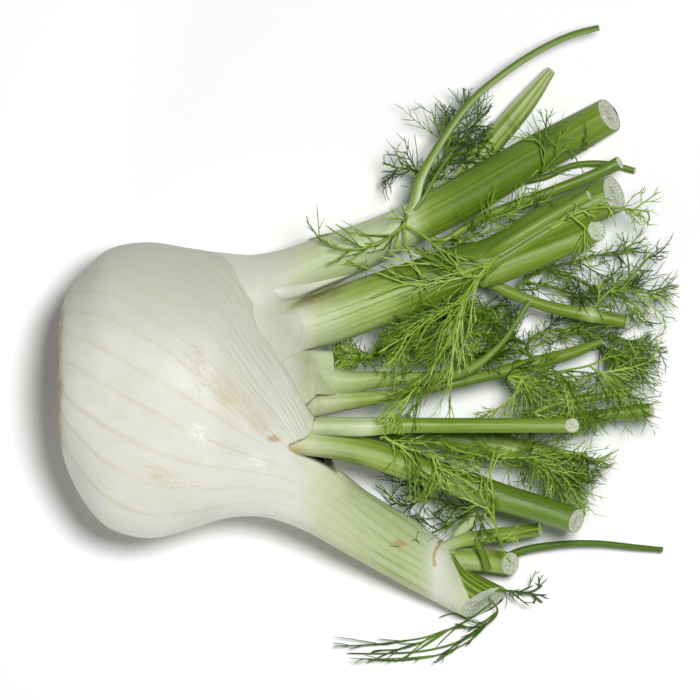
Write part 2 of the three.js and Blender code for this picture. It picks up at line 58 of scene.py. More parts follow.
# A sheath follows two edges, seen from above. Each row is one section across the leaf:
# x and y of the lower edge, x and y of the upper edge, height of the middle, half thickness.
OUTER_SHEATH = [
    (-48, -20, -48, 26, 37, 20), (-46, -28, -46, 34, 37, 26), (-40, -40, -40, 43, 37, 31),
    (-31, -50, -31, 52, 37, 35), (-16, -54.5, -16, 55, 37, 37.4), (-2, -52, -0.5, 52.5, 37, 37.8),
    (10, -48.3, 11, 50.5, 37, 36.8), (17, -47, 20, 48, 37, 33), (24, -46.8, 31, 41, 36.5, 28),
    (30, -47.6, 40, 30, 36, 23.5), (34, -48.8, 47, 14, 35.5, 20.5), (38, -50.2, 54, 0, 35, 18.5),
    (43, -52.4, 58, -12, 34, 16.5), (48, -55.1, 60, -23, 32, 14.5), (55, -59.3, 63, -31.5, 29.5, 12.8),
    (70.5, -67.8, 73, -40.5, 23.5, 11.6), (84.5, -75.6, 85, -49.5, 17, 10.6),
    (93.5, -80.3, 95, -58, 13, 10), (98.5, -83, 103, -66.5, 10.6, 9.2), (102, -85, 116.5, -74, 8, 8.4),
]
UPPER_SHEATH = [
    (-15, 10, -16, 50, 37, 14), (-2, 6, -2, 52, 37, 18), (11, 6, 11, 51, 36.5, 21.5),
    (22, 9, 22, 50, 36.5, 23), (30, 18, 29.5, 51, 36.2, 19.5), (36, 28.5, 34, 52, 35.9, 16.6),
    (43, 34.5, 40, 54, 35.3, 14.2), (52.5, 39, 49.5, 57.5, 34, 11.8), (67.5, 45.5, 63, 62, 31.5, 9.8),
    (82, 53, 77.5, 68, 28.5, 8.4), (103.5, 63.5, 97, 78.5, 23, 7.7), (126, 77.5, 120, 91.5, 16.5, 7.1),
    (148, 90, 142.5, 103, 9.5, 6.8), (159.5, 97, 153, 108.5, 6.4, 6.6),
]
MIDDLE_SHEATH = [
    (10, -6, 10, 28, 37, 18), (18, -2, 17, 33, 37, 19), (27, 4, 25, 35, 36.5, 19),
    (35, 10, 31, 34.5, 36, 17), (42, 14, 38.5, 33.5, 36, 12.6), (53.5, 17, 48, 36, 36, 10),
    (67.5, 22, 61.5, 41, 35.5, 9.3), (85, 29, 79.5, 47, 34.5, 9), (103.5, 36.5, 97.5, 53, 33.5, 8.8),
    (115.5, 42, 109, 56, 33, 8.4), (137, 55, 130, 68.5, 33, 7.2), (159.5, 66, 154.5, 79, 33, 6.8),
]
# The free edge of the outermost sheath, x and y.
SHEATH_EDGE = [
    (60, 72), (44, 58), (31, 44), (24.5, 33), (25.5, 24), (31, 16), (35.5, 8.5), (40, 0.5), (43.5, -6),
    (46.5, -11), (46, -14.5), (43.7, -17.6), (38.5, -19.9), (36.8, -21), (40, -22.9), (45, -24.8),
    (52.4, -27.3), (61.7, -33), (69.1, -37.4), (76, -41),
]

# A stalk follows one line. Each point is x, y, z and the radius.
HIGH_ARM = [
    (79, 63.5, 33, 2.2), (82.5, 68, 32, 2.1), (85.5, 78.5, 31, 1.8), (93, 92, 29, 1.5),
    (103.5, 106.5, 27, 1.4), (115.5, 117, 25, 1.3), (129, 126, 23, 1.25), (141.5, 132, 21, 1.2),
    (152, 135, 19, 1.1),
]
FINE_SHOOT = [
    (86.5, 59, 26, 1.6), (92, 55, 25, 1.4), (102, 60, 24, 1.6), (111, 65, 24, 1.8), (125.5, 70.5, 24, 1.9),
    (151.5, 80.5, 24, 2.2), (159.5, 84.5, 24, 2.5),
]
MIDDLE_SHOOT = [(106.5, 42, 34, 4.6), (114.5, 45, 34.5, 5.6), (133, 52, 35.5, 5), (150.5, 59, 36.5, 4)]
MIDDLE_TWIG = [(109, 49, 40, 1.6), (116, 53.5, 42.5, 1.9), (131.5, 63, 42.5, 1.9), (147.5, 72, 42, 1.9)]
SIDE_STALK = [
    (107.5, 42, 30, 1.8), (117.5, 36.5, 28, 2.2), (125, 33.5, 26.5, 2.1), (134.5, 30.5, 25, 2.2),
    (144.5, 28.5, 23.5, 2.5), (148.5, 28, 23, 3), (153.5, 27, 22.5, 2.6), (162.5, 25, 21.5, 2.6),
]
FAR_LEAF = [
    (40.5, 33.5, 24, 2.4), (63, 47.5, 16, 2.6), (87, 63, 12, 2.8), (100, 77.5, 11, 3.6),
    (115.5, 96, 10, 4.2), (126, 108.5, 8.5, 3.6), (134.5, 119.5, 7, 1.8),
]
FAR_TWIG = [
    (98, 74.5, 11, 1.4), (107.5, 74, 6, 1.2), (120, 77, 3, 1.2), (132, 79.5, 3, 1.2), (143, 84, 3.5, 1.2),
    (155.5, 84.5, 4, 1.2), (166, 82, 4, 1.1),
]
INNER_LEAF = [
    (29.5, -2, 37, 9), (40.5, 4, 37, 10), (47, 5, 37.5, 7.8), (52.5, 3.4, 37.5, 5.4), (59, 2.8, 37, 4.4),
    (68.5, 3.8, 37, 3.2), (77.5, 4, 37, 2.6), (92.5, 5, 37, 2.3), (103, 7.5, 37, 1.9),
    (114.5, 16.5, 37, 1.1), (126, 33, 36, 0.9),
]
HEART_LEAF = [
    (29.5, -7, 36, 5), (46, -5.2, 38, 4.9), (57.5, -4, 36.5, 3.6), (70.5, -2.5, 34, 2.5),
    (92.5, 1.5, 31, 1.9), (111, 5.5, 28, 2), (129.5, 10.5, 25, 2.3), (142.5, 14, 23, 2.1),
    (153, 18, 21.5, 1.1),
]
FRONT_STALK = [
    (31.5, -15.5, 42, 3), (46.5, -13.5, 45, 3.4), (63, -13.5, 47, 3.6), (76, -13, 48, 3),
    (96, -13, 49, 2.8), (141, -13, 50, 2.7),
]
LOWER_STALK = [
    (26.5, -16.5, 43, 4), (36, -18.8, 45.3, 4.5), (44, -19.6, 44, 4.7), (54, -20.6, 41, 5),
    (64.8, -22.8, 38, 5.3), (77.7, -27, 36, 5.4), (96, -33, 35.5, 5.4), (114.5, -39.5, 35.5, 5.2),
    (133, -45, 35, 4.8), (143, -48.5, 34.5, 4.6),
]
BACK_STALK = [
    (37, -15, 27, 2.6), (55.5, -15, 26, 3.6), (77.5, -16, 24, 4.2), (96, -18, 23, 4.4),
    (114.5, -21, 22, 4.6), (129.5, -24.5, 21, 4.4), (147, -28.5, 20, 4.4),
]
BACK_BRANCH = [(92.5, -17, 23, 2.4), (107.5, -15.5, 23, 2.6), (122, -13.5, 23, 2.6), (171.5, -7.5, 23, 2.5)]
BACK_TWIG = [(114.5, -19, 23, 1.5), (126, -9.5, 26.5, 1.4), (137, -5, 26, 1.5), (164.5, -1, 25, 1.4)]
LOWER_SHOOT = [(92.5, -64, 14, 4.6), (100.5, -63.5, 14, 4.6), (109, -64, 13, 4.4), (119, -65, 12, 4.3)]
LOWER_BRANCH = [
    (92.5, -60, 19, 2.2), (101, -56, 21, 2.5), (107.5, -55, 21, 2.7), (118.5, -53.5, 20, 2.6),
    (130, -52, 19, 2.5),
]
LOWER_TWIG = [(95.5, -61.5, 18, 2), (100.5, -53, 20, 2), (104.5, -49, 21, 1.9), (107.5, -45, 22, 1.8)]
LOWER_ARM = [
    (109, -65, 11, 1.7), (113, -65, 8, 1.5), (123, -60.5, 7, 1.5), (137, -58, 7.5, 1.3),
    (151.5, -57.5, 7.5, 1.1), (166.5, -59, 6, 1), (176.5, -60, 4.5, 0.9),
]
LOWER_FLAP = [(104.5, -53.5, 22, 1.2), (107, -57.5, 23, 1.2), (109, -62, 22, 1.4), (110.5, -67, 19.5, 1.6)]
# A short leaf of the heart, cut off square beside the inner leaf.
HEART_BLOCK = [(28, 5, 44, 5), (36, 8, 43, 5.6), (44, 9.2, 40.3, 5.5), (51.4, 9.4, 36.8, 5.2)]
# The margin of the upper leaf's sheath curls over the middle leaf in a short lobe.
SHEATH_LOBE = [
    (60, 43.5, 36.8, 0.6), (50, 40.2, 41.8, 1.4), (43, 38, 45.4, 2.2), (38, 36.8, 48.6, 3),
    (34, 36.2, 51.4, 3.2), (31.2, 36.6, 52.9, 2.6), (29.4, 37.2, 54, 1.2),
]
# A thin stem beside the high arm.
ARM_COMPANION = [(83, 66, 34, 0.8), (87, 72, 34, 0.75), (91.5, 80, 33, 0.6), (97, 88, 31, 0.45)]

# How each frond grows, and its stems as lists of x, y, z. The first stem leaves the stalk. Another stem
# that starts with a number leaves the first one at that point. The words are factors on LEAFLETS, THREADS
# and FORKS below: reach and density of the leaflets, fine for the density of the threads, spread for how
# far they lean, curl for how unevenly all of them bend, stem for the stems' thickness. lean replaces the
# leaflets' own, tone is added to the shade, and forks=False leaves the forks out.
FRONDS = {
    "frond_high": (dict(reach=0.5, density=1.3, fine=0.8, curl=0.4), [
        [(82.5, 67.5, 27), (89, 78.5, 20), (96, 86, 15), (106.5, 91.5, 12), (119, 89.5, 9)],
        [1, (95, 89, 17), (99, 101.5, 14)],
        [2, (104.5, 98, 12), (111.5, 104.5, 10)],
        [1, (81.5, 82, 19), (74.5, 83, 18)],
    ]),
    "frond_front": (dict(reach=1.25, density=0.4, fine=0.3, spread=0.6, curl=0.5), [
        [(80.5, 66, 33), (79, 61, 42), (74, 56.5, 44.5), (66.5, 53, 46), (57.5, 52, 47.5), (47.5, 55, 49)],
        [1, (80.5, 52, 44), (85, 42.5, 46.5), (88, 36.5, 47.5)],
        [1, (85, 58, 43), (92.5, 52, 45.5), (103, 47.5, 47.5)],
        [(86.5, 39.5, 47), (77.5, 38.5, 48), (67, 34, 49)],
    ]),
    "frond_sweep": (dict(reach=1.6, density=1.3, lean=0.42, fine=0.45, spread=0.6, curl=0.6), [
        [(114, 49.5, 41), (106.5, 42, 46), (100.5, 32.5, 47.5), (97, 20.5, 46), (89, 8, 44.5), (80, -3, 49),
         (75.5, -7.5, 52.5)],
        [2, (92.5, 29, 47.5), (79.5, 19, 46)],
        [1, (98, 43.5, 47), (88, 47.5, 47)],
    ]),
    "frond_heart": (dict(reach=0.42, density=2.3, fine=1.3, tone=0.14), [
        [(54, 7.5, 33), (57.5, 10.5, 28), (66.5, 12.5, 27), (77.5, 14, 25), (92.5, 17.5, 23),
         (109, 21.5, 22)],
        [3, (87, 24, 20), (98, 29, 17), (114.5, 29.5, 14)],
        [2, (72, 18, 25), (77.5, 20.5, 23)],
        [4, (103.5, 13, 23), (116.5, 14, 22)],
        [2, (60, 14, 29), (54, 14, 30)],
        [1, (55, 12, 31), (53, 14.5, 33)],
    ]),
    "frond_gap": (dict(reach=0.6), [
        [(96, 57.5, 24.5), (102, 55.5, 28), (107.5, 62, 29), (116.5, 65, 29), (126.5, 69, 28.5),
         (137, 71, 28)],
        [1, (96, 51, 29)],
        [3, (122, 63, 30), (133, 66, 30)],
    ]),
    "frond_right": (dict(reach=0.5, density=1.1, fine=0.8, tone=0.08), [
        [(148.5, 29, 24), (156, 37, 25), (163, 41.5, 23), (172, 51, 20)],
        [1, (166.5, 36.5, 22), (176, 35, 20)],
        [1, (164.5, 32, 22), (170, 25, 18)],
    ]),
    "frond_behind": (dict(reach=0.6, fine=0.8, tone=0.06), [
        [(120, 36.5, 27), (124, 40.5, 18), (131.5, 45, 14), (141.5, 47.5, 12), (155.5, 51, 10),
         (166.5, 52.5, 9)],
        [2, (141.5, 42, 12), (154.5, 37, 10), (166.5, 40, 8)],
        [1, (137, 37.5, 11), (151.5, 33.5, 8)],
    ]),
    "frond_centre": (dict(reach=0.9, density=1.6, tone=0.2), [
        [(113.5, 6, 27.5), (123, 4.5, 26), (131.5, 3.5, 27), (137, 6.5, 27), (148, 9, 26),
         (157, 12.5, 23.5), (163, 12.5, 22)],
        [1, (120, -2, 27), (113, -8, 27)],
        [1, (126, -2, 27), (127.5, -9, 27)],
        [3, (140.5, 0, 27), (141.5, -8, 26)],
        [4, (154, 5, 24.5), (162, 2.5, 22)],
    ]),
    "frond_under": (dict(reach=0.6, fine=0.8, tone=0.08), [
        [(127.5, 10.5, 25), (125, 16.5, 18), (133, 22, 14), (146, 20.5, 12), (161, 19, 9), (169.5, 12, 6)],
        [1, (116.5, 22, 13), (107.5, 26, 9)],
        [3, (155.5, 15, 8), (162, 6.5, 5)],
    ]),
    "frond_low_right": (dict(reach=0.6, density=1.2, tone=0.16), [
        [(92.5, -18.5, 26), (98, -22, 29), (103.5, -23.5, 29), (114.5, -25, 28.5), (127, -25, 28),
         (140.5, -23.5, 28), (153, -26.5, 27)],
        [4, (137, -29.5, 26.5), (144.5, -37, 22)],
        [4, (131.5, -31.5, 25), (139, -39, 20)],
    ]),
    "frond_low_mid": (dict(reach=0.8, density=0.8, fine=0.7, spread=0.8), [
        [(73.5, -13.5, 46), (72, -17, 43), (77, -20, 43), (89.5, -24, 43), (103.5, -28, 43)],
        [3, (91, -29.5, 43), (92.5, -35, 42.5)],
        [2, (83, -26.5, 42.5), (86.5, -33.5, 42)],
    ]),
    "frond_low_back": (dict(reach=0.7, fine=0.8), [
        [(106, -40.5, 32), (104.5, -45, 22), (98, -43, 15), (89, -40.5, 13), (79.5, -43.5, 11),
         (73.5, -40.5, 10)],
        [1, (96, -50.5, 13), (87, -55, 10), (82, -57.5, 8)],
        [3, (85, -35.5, 12), (77.5, -32, 11)],
    ]),
    "frond_pale": (dict(reach=0.6, density=0.6, fine=0.6), [
        [(113.5, -54.5, 21.5), (115.5, -57.5, 30), (112.5, -48, 39), (112, -39, 42.5), (111, -29.5, 43),
         (113, -21.5, 42)],
        [2, (109.5, -42.5, 42), (106.5, -36.5, 43)],
        [1, (122, -53, 30), (132.5, -51, 28)],
    ]),
    "frond_bottom": (dict(reach=1.3, density=0.15, fine=0.25, lean=0.22, spread=0.4, curl=0.7,
                          forks=False, stem=0.72), [
        [(110, -76.5, 9), (114.5, -83, 8), (109, -89, 5), (100, -94.5, 3), (87, -98, 2), (72, -99, 2),
         (58, -99, 1.5)],
        [1, (107.5, -87.5, 5.5), (98, -84, 3), (92.5, -85.5, 2.5)],
        [2, (98, -89.5, 2.5), (87, -93, 2), (74.5, -95, 1.5)],
        [1, (105, -93.5, 3.5), (94, -99, 2.2), (80, -101.5, 1.8), (66, -101.5, 1.4)],
        [(112, -80, 8.5), (104, -86, 4.5), (93, -91.5, 2.6), (80, -97, 1.8), (68, -98, 1.4)],
    ]),
    "frond_tip": (dict(reach=0.5, density=0.5, fine=0.35), [
        [(111.5, -75, 10), (120, -75.5, 7), (126.5, -76, 4), (131.5, -73.5, 3)],
        [2, (131.5, -80, 2)],
    ]),
    "frond_sparse_top": (dict(reach=0.7, density=0.6, fine=0.6), [
        [(129.5, 85, 18), (130.5, 80.5, 23), (131.5, 89, 25.5), (124.5, 96, 25)],
        [1, (139, 89, 24), (146.5, 89, 21)],
    ]),
    "frond_sparse_mid": (dict(reach=0.6, density=0.6, fine=0.6), [
        [(131.5, 59, 38), (140.5, 64.5, 43), (151.5, 67.5, 42), (170, 66, 38)],
        [1, (146, 60, 43), (148, 56, 42)],
    ]),
}


# ---------------------------------------------------------------- curves

def spline(points, t):
    """Centripetal Catmull-Rom through the points, at each t from 0 to 1, each span an equal share of t."""
    p = np.asarray(points, float)
    p = np.vstack([2 * p[0] - p[1], p, 2 * p[-1] - p[-2]])
    spans = len(p) - 3
    place = np.clip(np.asarray(t, float), 0, 1) * spans
    i = np.minimum(place.astype(int), spans - 1)
    w = (place - i)[..., None]
    p0, p1, p2, p3 = (p[i + k] for k in range(4))

    def knot(a, b, least):
        gap = np.sqrt(np.linalg.norm(b - a, axis=-1, keepdims=True))
        return np.where(gap < 1e-4, least, gap)

    d1 = knot(p1, p2, 1)
    d0, d2 = knot(p0, p1, d1), knot(p2, p3, d1)
    m1 = ((p1 - p0) / d0 - (p2 - p0) / (d0 + d1) + (p2 - p1) / d1) * d1
    m2 = ((p2 - p1) / d1 - (p3 - p1) / (d1 + d2) + (p3 - p2) / d2) * d1
    return p1 + m1 * w + (3 * (p2 - p1) - 2 * m1 - m2) * w ** 2 + (2 * (p1 - p2) + m1 + m2) * w ** 3


def flat_curve(points, count):
    """So many points of the curve, seen from above."""
    return spline([(x, y, 0) for x, y, *_ in points], np.linspace(0, 1, count))[:, :2]


def even_steps(points, pitch, least=2):
    """Values of t that are evenly spaced along the curve, about a pitch apart."""
    fine = np.linspace(0, 1, 40 * len(points))
    line = spline(np.asarray(points, float)[:, :3], fine)
    run = distances(line)
    return np.interp(np.linspace(0, run[-1], max(least, int(run[-1] / pitch))), run, fine)


def distances(line):
    """How far each point of a line is from its start, along the line."""
    return np.concatenate([[0], np.cumsum(np.linalg.norm(np.diff(line, axis=0), axis=1))])


def unit(v):
    return v / np.maximum(np.linalg.norm(v, axis=-1, keepdims=True), 1e-9)


def ellipse(side, up, cos, sin):
    """Offsets round each point of a line, from its two half axes."""
    return side[..., None, :] * cos[:, None] + up[..., None, :] * sin[:, None]


def ramp(value, low, high):
    """0 below low, 1 above high and smooth between."""
    w = np.clip((value - low) / (high - low), 0, 1)
    return w * w * (3 - 2 * w)


def crest(value, width):
    """1 at whole numbers, falling off to each side."""
    return np.exp(-((value - np.round(value)) / width) ** 2)


def spot(x, y, cx, cy, rx, ry, turn=0.0):
    """A soft oval on the plane: 1 in its middle, turned by so many degrees."""
    cos, sin = math.cos(math.radians(turn)), math.sin(math.radians(turn))
    u = ((x - cx) * cos + (y - cy) * sin) / rx
    v = ((y - cy) * cos - (x - cx) * sin) / ry
    return np.exp(-(u * u + v * v))


def wrapped(angle):
    """The same angle from -180 to 180 degrees, in radians."""
    return (angle + math.pi) % TAU - math.pi


def smooth_noise(x, y, seed, octaves):
    """Soft noise from about -1 to 1 over two coordinates, made of seeded waves."""
    rng = np.random.default_rng(seed)
    waves = 5
    total = np.zeros(x.shape)
    for octave in range(octaves):
        for _ in range(waves):
            angle, phase = rng.uniform(0, TAU, 2)
            pitch = 2 ** octave * rng.uniform(0.7, 1.3)
            wave = np.sin(pitch * (x * math.cos(angle) + y * math.sin(angle)) + phase)
            total += wave / (waves * 0.7 * 1.7 ** octave)
    return total


def near_line(x, y, line):
    """How far places are from a line seen from above, on which side of it, and the nearest point."""
    best = np.full(x.shape, 1e9)
    side, near_x, near_y = (np.zeros(x.shape) for _ in range(3))
    line = np.asarray(line, float)
    for (sx, sy), (dx, dy) in zip(line[:-1], np.diff(line, axis=0)):
        w = np.clip(((x - sx) * dx + (y - sy) * dy) / max(dx * dx + dy * dy, 1e-9), 0, 1)
        qx, qy = sx + w * dx, sy + w * dy
        gap = np.hypot(x - qx, y - qy)
        closer = gap < best
        best = np.where(closer, gap, best)
        side = np.where(closer, np.sign((y - sy) * dx - (x - sx) * dy), side)
        near_x, near_y = np.where(closer, qx, near_x), np.where(closer, qy, near_y)
    return best, side, near_x, near_y


# ---------------------------------------------------------------- sections of a leaf
# Sections are the middle, the half axes across and up, and the direction of a leaf at each t.

def sheath_sections(rows, t):
    def middles(t):
        row = spline(rows, t)
        return row, (row[:, [0, 1, 4]] + row[:, [2, 3, 4]]) / 2

    row, middle = middles(t)
    side = (row[:, [0, 1, 4]] - row[:, [2, 3, 4]]) / 2
    forward = unit(middles(t + 1e-3)[1] - middles(t - 1e-3)[1])
    return middle, side, unit(np.cross(side, forward)) * row[:, 5:], forward


def stalk_sections(route, t):
    row = spline(route, t)
    forward = unit(spline(route, t + 1e-3)[:, :3] - spline(route, t - 1e-3)[:, :3])
    side = unit(np.cross(forward, (0, 0, 1)))
    return row[:, :3], side * row[:, 3:], np.cross(side, forward) * row[:, 3:], forward


# ---------------------------------------------------------------- meshes

# A closed body. rims tells the edges of its cut ends apart, and tags are values for each vertex. On a leaf
# they are skin (round it and along it), ridge (how far it stands out), cut (1 on a cut face) and green.
Part = namedtuple("Part", "verts faces rims tags")

CAP_RINGS = (0.96, 0.88, 0.78, 0.67, 0.55, 0.42, 0.28, 0.12)    # rings of a cut face, as shares of its radius
CAP_RIM = 0.9            # rings beyond this share still have some of the skin's colour
CAP_HOLLOW = 0.25        # how far a cut face is sunk in its middle, in mm
CAP_BUMPS = 0.16         # how far its points stray from that, in the same way
CAP_FULL = 4             # radius of a stalk whose cut faces are hollow and bumpy in full
SLANT_REACH = 3.2        # how far a slanted cut bends the skin, in radii


def add_mesh(name, part):
    """One object at the origin, from a part in millimetres."""
    mesh = bpy.data.meshes.new(name)
    mesh.from_pydata((part.verts * MM).tolist(), [], part.faces)
    for label, values in part.tags.items():
        kind, key = ("FLOAT", "value") if values.ndim == 1 else ("FLOAT_VECTOR", "vector")
        layer = mesh.attributes.new(label, kind, "POINT")
        layer.data.foreach_set(key, values.astype(np.float32).ravel())
    mesh.polygons.foreach_set("use_smooth", np.ones(len(mesh.polygons), bool))
    if part.rims.any():
        ends = np.zeros(2 * len(mesh.edges), np.int32)
        mesh.edges.foreach_get("vertices", ends)
        first, second = part.rims[ends.reshape(-1, 2)].T
        layer = mesh.attributes.new("sharp_edge", "BOOLEAN", "EDGE")
        layer.data.foreach_set("value", (first > 0) & (first == second))
    mesh.update()
    return add_object(name, mesh)


def add_object(name, data):
    obj = bpy.data.objects.new(name, data)
    bpy.context.scene.collection.objects.link(obj)
    return obj


def grid_faces(rings, around):
    """Quads of a closed sleeve of rings, facing out."""
    i, j = np.meshgrid(np.arange(rings - 1), np.arange(around), indexing="ij")
    k = (j + 1) % around
    quads = np.stack([i * around + j, (i + 1) * around + j, (i + 1) * around + k, i * around + k], -1)
    return quads.reshape(-1, 4).tolist()


def loft(sections, t, around, relief, depth, seed, slants=(0, 0), squareness=2.0):
    """A closed body along the sections.

    relief(t, angle) is how far the skin stands out, in shares of depth, which is in millimetres at each t.
    A slanted end is cut so that its face looks up as well as along the stalk.
    """
    middle, side, up, forward = sections
    angle = np.linspace(0, TAU, around, endpoint=False)
    cos, sin = np.cos(angle), np.sin(angle)
    wide, deep = (np.linalg.norm(axis, axis=1)[:, None] for axis in (side, up))
    size = ((wide + deep) / 2)[:, 0]
    run = distances(middle)
    full = (np.abs(cos) ** squareness + np.abs(sin) ** squareness) ** (-1 / squareness)
    share = relief(t[:, None], angle[None, :])
    outward = unit(ellipse(side / wide ** 2, up / deep ** 2, cos, sin))
    ring = middle[:, None] + ellipse(side, up, full * cos, full * sin)
    ring = ring + outward * (share * np.reshape(depth, (-1, 1)))[..., None]
    for end, sign, slant in ((0, -1, slants[0]), (-1, 1, slants[1])):
        pull = ramp(-np.abs(run - run[end]), -SLANT_REACH * size[end], 0) * slant * sign
        height = ring[..., 2] - middle[:, None, 2]
        ring = ring - forward[:, None] * (pull[:, None] * height)[..., None]

    def skin_of(size, run):
        return np.stack(np.broadcast_arrays(size[:, None] * cos, size[:, None] * sin, run[:, None]), -1)

    sleeve = share.size
    verts, faces, skin, cut = [ring], grid_faces(len(t), around), [skin_of(size, run)], [np.zeros(sleeve)]
    rng = np.random.default_rng(seed)
    scale = np.array(CAP_RINGS)
    total = sleeve
    for end, sign in ((0, -1), (len(t) - 1, 1)):
        small = min(1.0, size[end] / CAP_FULL)
        bumps = rng.uniform(-CAP_BUMPS, CAP_BUMPS, (len(scale), around)) - CAP_HOLLOW * (1 - scale[:, None])
        verts += [middle[end] + (ring[end] - middle[end]) * scale[:, None, None]
                  + sign * forward[end] * bumps[..., None] * small,
                  middle[end] - sign * forward[end] * CAP_HOLLOW * small]
        skin += [skin_of(scale * size[end], run[end] + 0 * scale), np.array([0, 0, run[end]])]
        cut += [np.repeat(np.where(scale < CAP_RIM, 1.0, 0.6), around), np.ones(1)]
        index = np.arange(scale.size * around).reshape(-1, around) + total
        index = np.vstack([np.arange(around) + end * around, index])
        turned = np.roll(index, -1, axis=1)
        total += scale.size * around + 1
        for face in (np.stack([index[:-1], turned[:-1], turned[1:], index[1:]], -1).reshape(-1, 4),
                     np.stack([index[-1], turned[-1], np.full(around, total - 1)], -1)):
            faces += (face if sign < 0 else face[:, ::-1]).tolist()
    verts, skin = (np.concatenate([rows.reshape(-1, 3) for rows in blocks]) for blocks in (verts, skin))
    rims, ridge = np.zeros(total, int), np.zeros(total)
    ridge[:sleeve] = share.ravel()
    rims[:around], rims[sleeve - around:sleeve] = 1, 2
    return Part(verts, faces, rims, {"skin": skin, "ridge": ridge, "cut": np.concatenate(cut)})


def ribs(count, seed):
    """Narrow grooves along a stalk at uneven distances, which wander a little on the way."""
    rng = np.random.default_rng(seed)
    places = (np.arange(count) + rng.uniform(-0.35, 0.35, count)) / count * TAU
    depths = rng.uniform(0.3, 1.5, count)
    widths = 0.3 / count * TAU * rng.uniform(0.6, 1.6, count)
    drifts = rng.uniform(-0.2, 0.2, (count, 2))

    def relief(t, angle):
        total = np.zeros(np.broadcast(t, angle).shape)
        for place, deep, width, (lean, wave) in zip(places, depths, widths, drifts):
            off = wrapped(angle - place - lean * t - wave * np.sin(5 * t + place))
            total -= deep * np.exp(-(off / width) ** 2)
        return total + 0.4

    return relief


def merge(parts):
    """Several parts as one, with the tags of the first."""
    verts, faces, rims, start = [], [], [], 0
    tags = {label: [] for label in parts[0].tags}
    for order, part in enumerate(parts):
        verts.append(part.verts)
        faces += [[k + start for k in face] for face in part.faces]
        rims.append(np.where(part.rims > 0, part.rims + 10 * order, 0))
        for label, like in parts[0].tags.items():
            tags[label].append(part.tags.get(label, np.zeros((len(part.verts), *like.shape[1:]))))
        start += len(part.verts)
    return Part(np.concatenate(verts), faces, np.concatenate(rims),
                {label: np.concatenate(values) for label, values in tags.items()})


# ---------------------------------------------------------------- the bulb

# Veins fan out from the root plate, draw together at the waist and run on along the lowest stalk.
# Each guide is one strong vein of the bulb, seen from above.
VEIN_GUIDES = [
    [(-30, 56), (-12, 56), (5, 50), (18.5, 38), (24, 26), (31, 17), (36, 9), (40, 1), (43, -5), (45, -11),
     (47, -22)],
    [(-45, 44), (-29, 43), (-20, 39), (-9, 33), (1.5, 25), (8.5, 19.5), (14, 11.5), (19, 4), (29, -8),
     (40, -20)],
    [(-46, 36), (-36, 36), (-27, 35), (-17, 29), (-8.5, 23), (0, 17), (7, 11), (15, 3), (23, -7), (37, -22)],
    [(-47, 29), (-39, 28.5), (-30, 26.5), (-20, 22), (-9, 15.5), (0.5, 8.5), (8.5, 1.5), (16, -5),
     (25, -13), (37, -24)],
    [(-43, 20), (-34.5, 17), (-24, 11), (-13, 5), (-2, -1), (8, -7.5), (16, -13), (28, -20), (40, -27)],
    [(-43, 9.5), (-32.5, 3.5), (-22, -2.5), (-12, -7.5), (-2, -13.5), (12, -20), (26, -25), (42, -31)],
    [(-46, -0.5), (-41, -5.5), (-32, -12), (-22, -17.5), (-12, -22), (4, -27), (24, -30), (42, -35)],
    [(-46, -10), (-40, -17), (-30, -26), (-16, -33), (2, -36), (24, -36), (42, -39.5)],
    [(-46, -20), (-40, -29), (-28, -40), (-14, -45), (4, -44), (24, -41), (42, -44)],
    [(-46, -30), (-38, -43), (-26, -53), (-14, -56), (4, -52), (24, -46), (42, -49)],
]
VEIN_RELIEF = 0.14       # heights on the bulb's skin in mm: veins at the waist, folds at the root, lumps
FOLD_RELIEF = 0.05
LUMP_RELIEF = 0.3
LUMP_SIZE = 15
RIB_HEIGHT = 0.12        # ribs where the sheath runs on as the lowest stalk
EDGE_ROUNDING = 0.6      # radius of the sheath's free edge
STALK_ROUNDING = 2.2     # the same where the edge runs on as the upper side of the lowest stalk
NOTCH_FLOOR = 16.0       # height to which the sheath is sunk between its lip and the lowest stalk
BULB_MIDDLE = (5, 0, 37)
WAIST = (36, -19)        # where the veins draw together
NODE_SWELLING = 1.6      # height of the lowest stalk's swelling where its shoots leave it
NODE_OVAL = (95, -62, 4.6, 6.5)
FLAP_LINE = (98, -66)    # a striped flap of the lowest stalk starts at a line through this point
FLAP_TOWARDS = (12.2, 5.6)
FLAP_STEP = 0.7
FLAP_STRIPES = 25        # as many round the whole stalk
BULB_GREEN = [
    (20, 0), (38, 0.06), (50, 0.16), (62, 0.23), (78, 0.27), (86, 0.21), (91, 0.08), (97, 0.11), (106, 0.2),
]

# Marks and painted glints on the bulb's upper side: strength, x and y of the middle, two radii and the turn
# in degrees.
GRAZES = [
    (0.98, 15, -2, 16, 7.5, -46), (0.75, 4, 11, 11, 6, -50), (1, 26, -12, 8, 4.5, -46),
    (0.85, -9, -31.5, 16, 6, -30),
]
WORN = [
    (1.25, 31, -17.8, 3.6, 2.1, -12), (0.4, -9, -31.5, 11, 4, -30), (0.9, 2.5, -35.2, 3.2, 1.3, -20),
    (0.6, -14, -24.5, 6, 2.5, -38), (1.2, -42, -20, 0.6, 0.5, -35), (1.1, -8.5, 22, 0.45, 0.35, -35),
    (1.1, -19, -38, 0.7, 0.4, -35), (1.1, -17, -51.5, 0.7, 0.4, -35), (1.4, 78, -56.8, 3.6, 1.7, -12),
    (1.1, -5, -10, 0.45, 0.4, -35), (1.1, 36, -34, 0.5, 0.4, -35),
]
WORN_ARC = [(95.5, -55), (92.6, -57), (91, -59.5), (90.3, -62), (90.7, -65)]
# Painted glints: near-white spots that stand in for highlights on the shiny skin.
PAINTED_GLINTS = [(1, 4, -15, 9, 5, -48), (1, 25, -26, 8, 4, -55)]


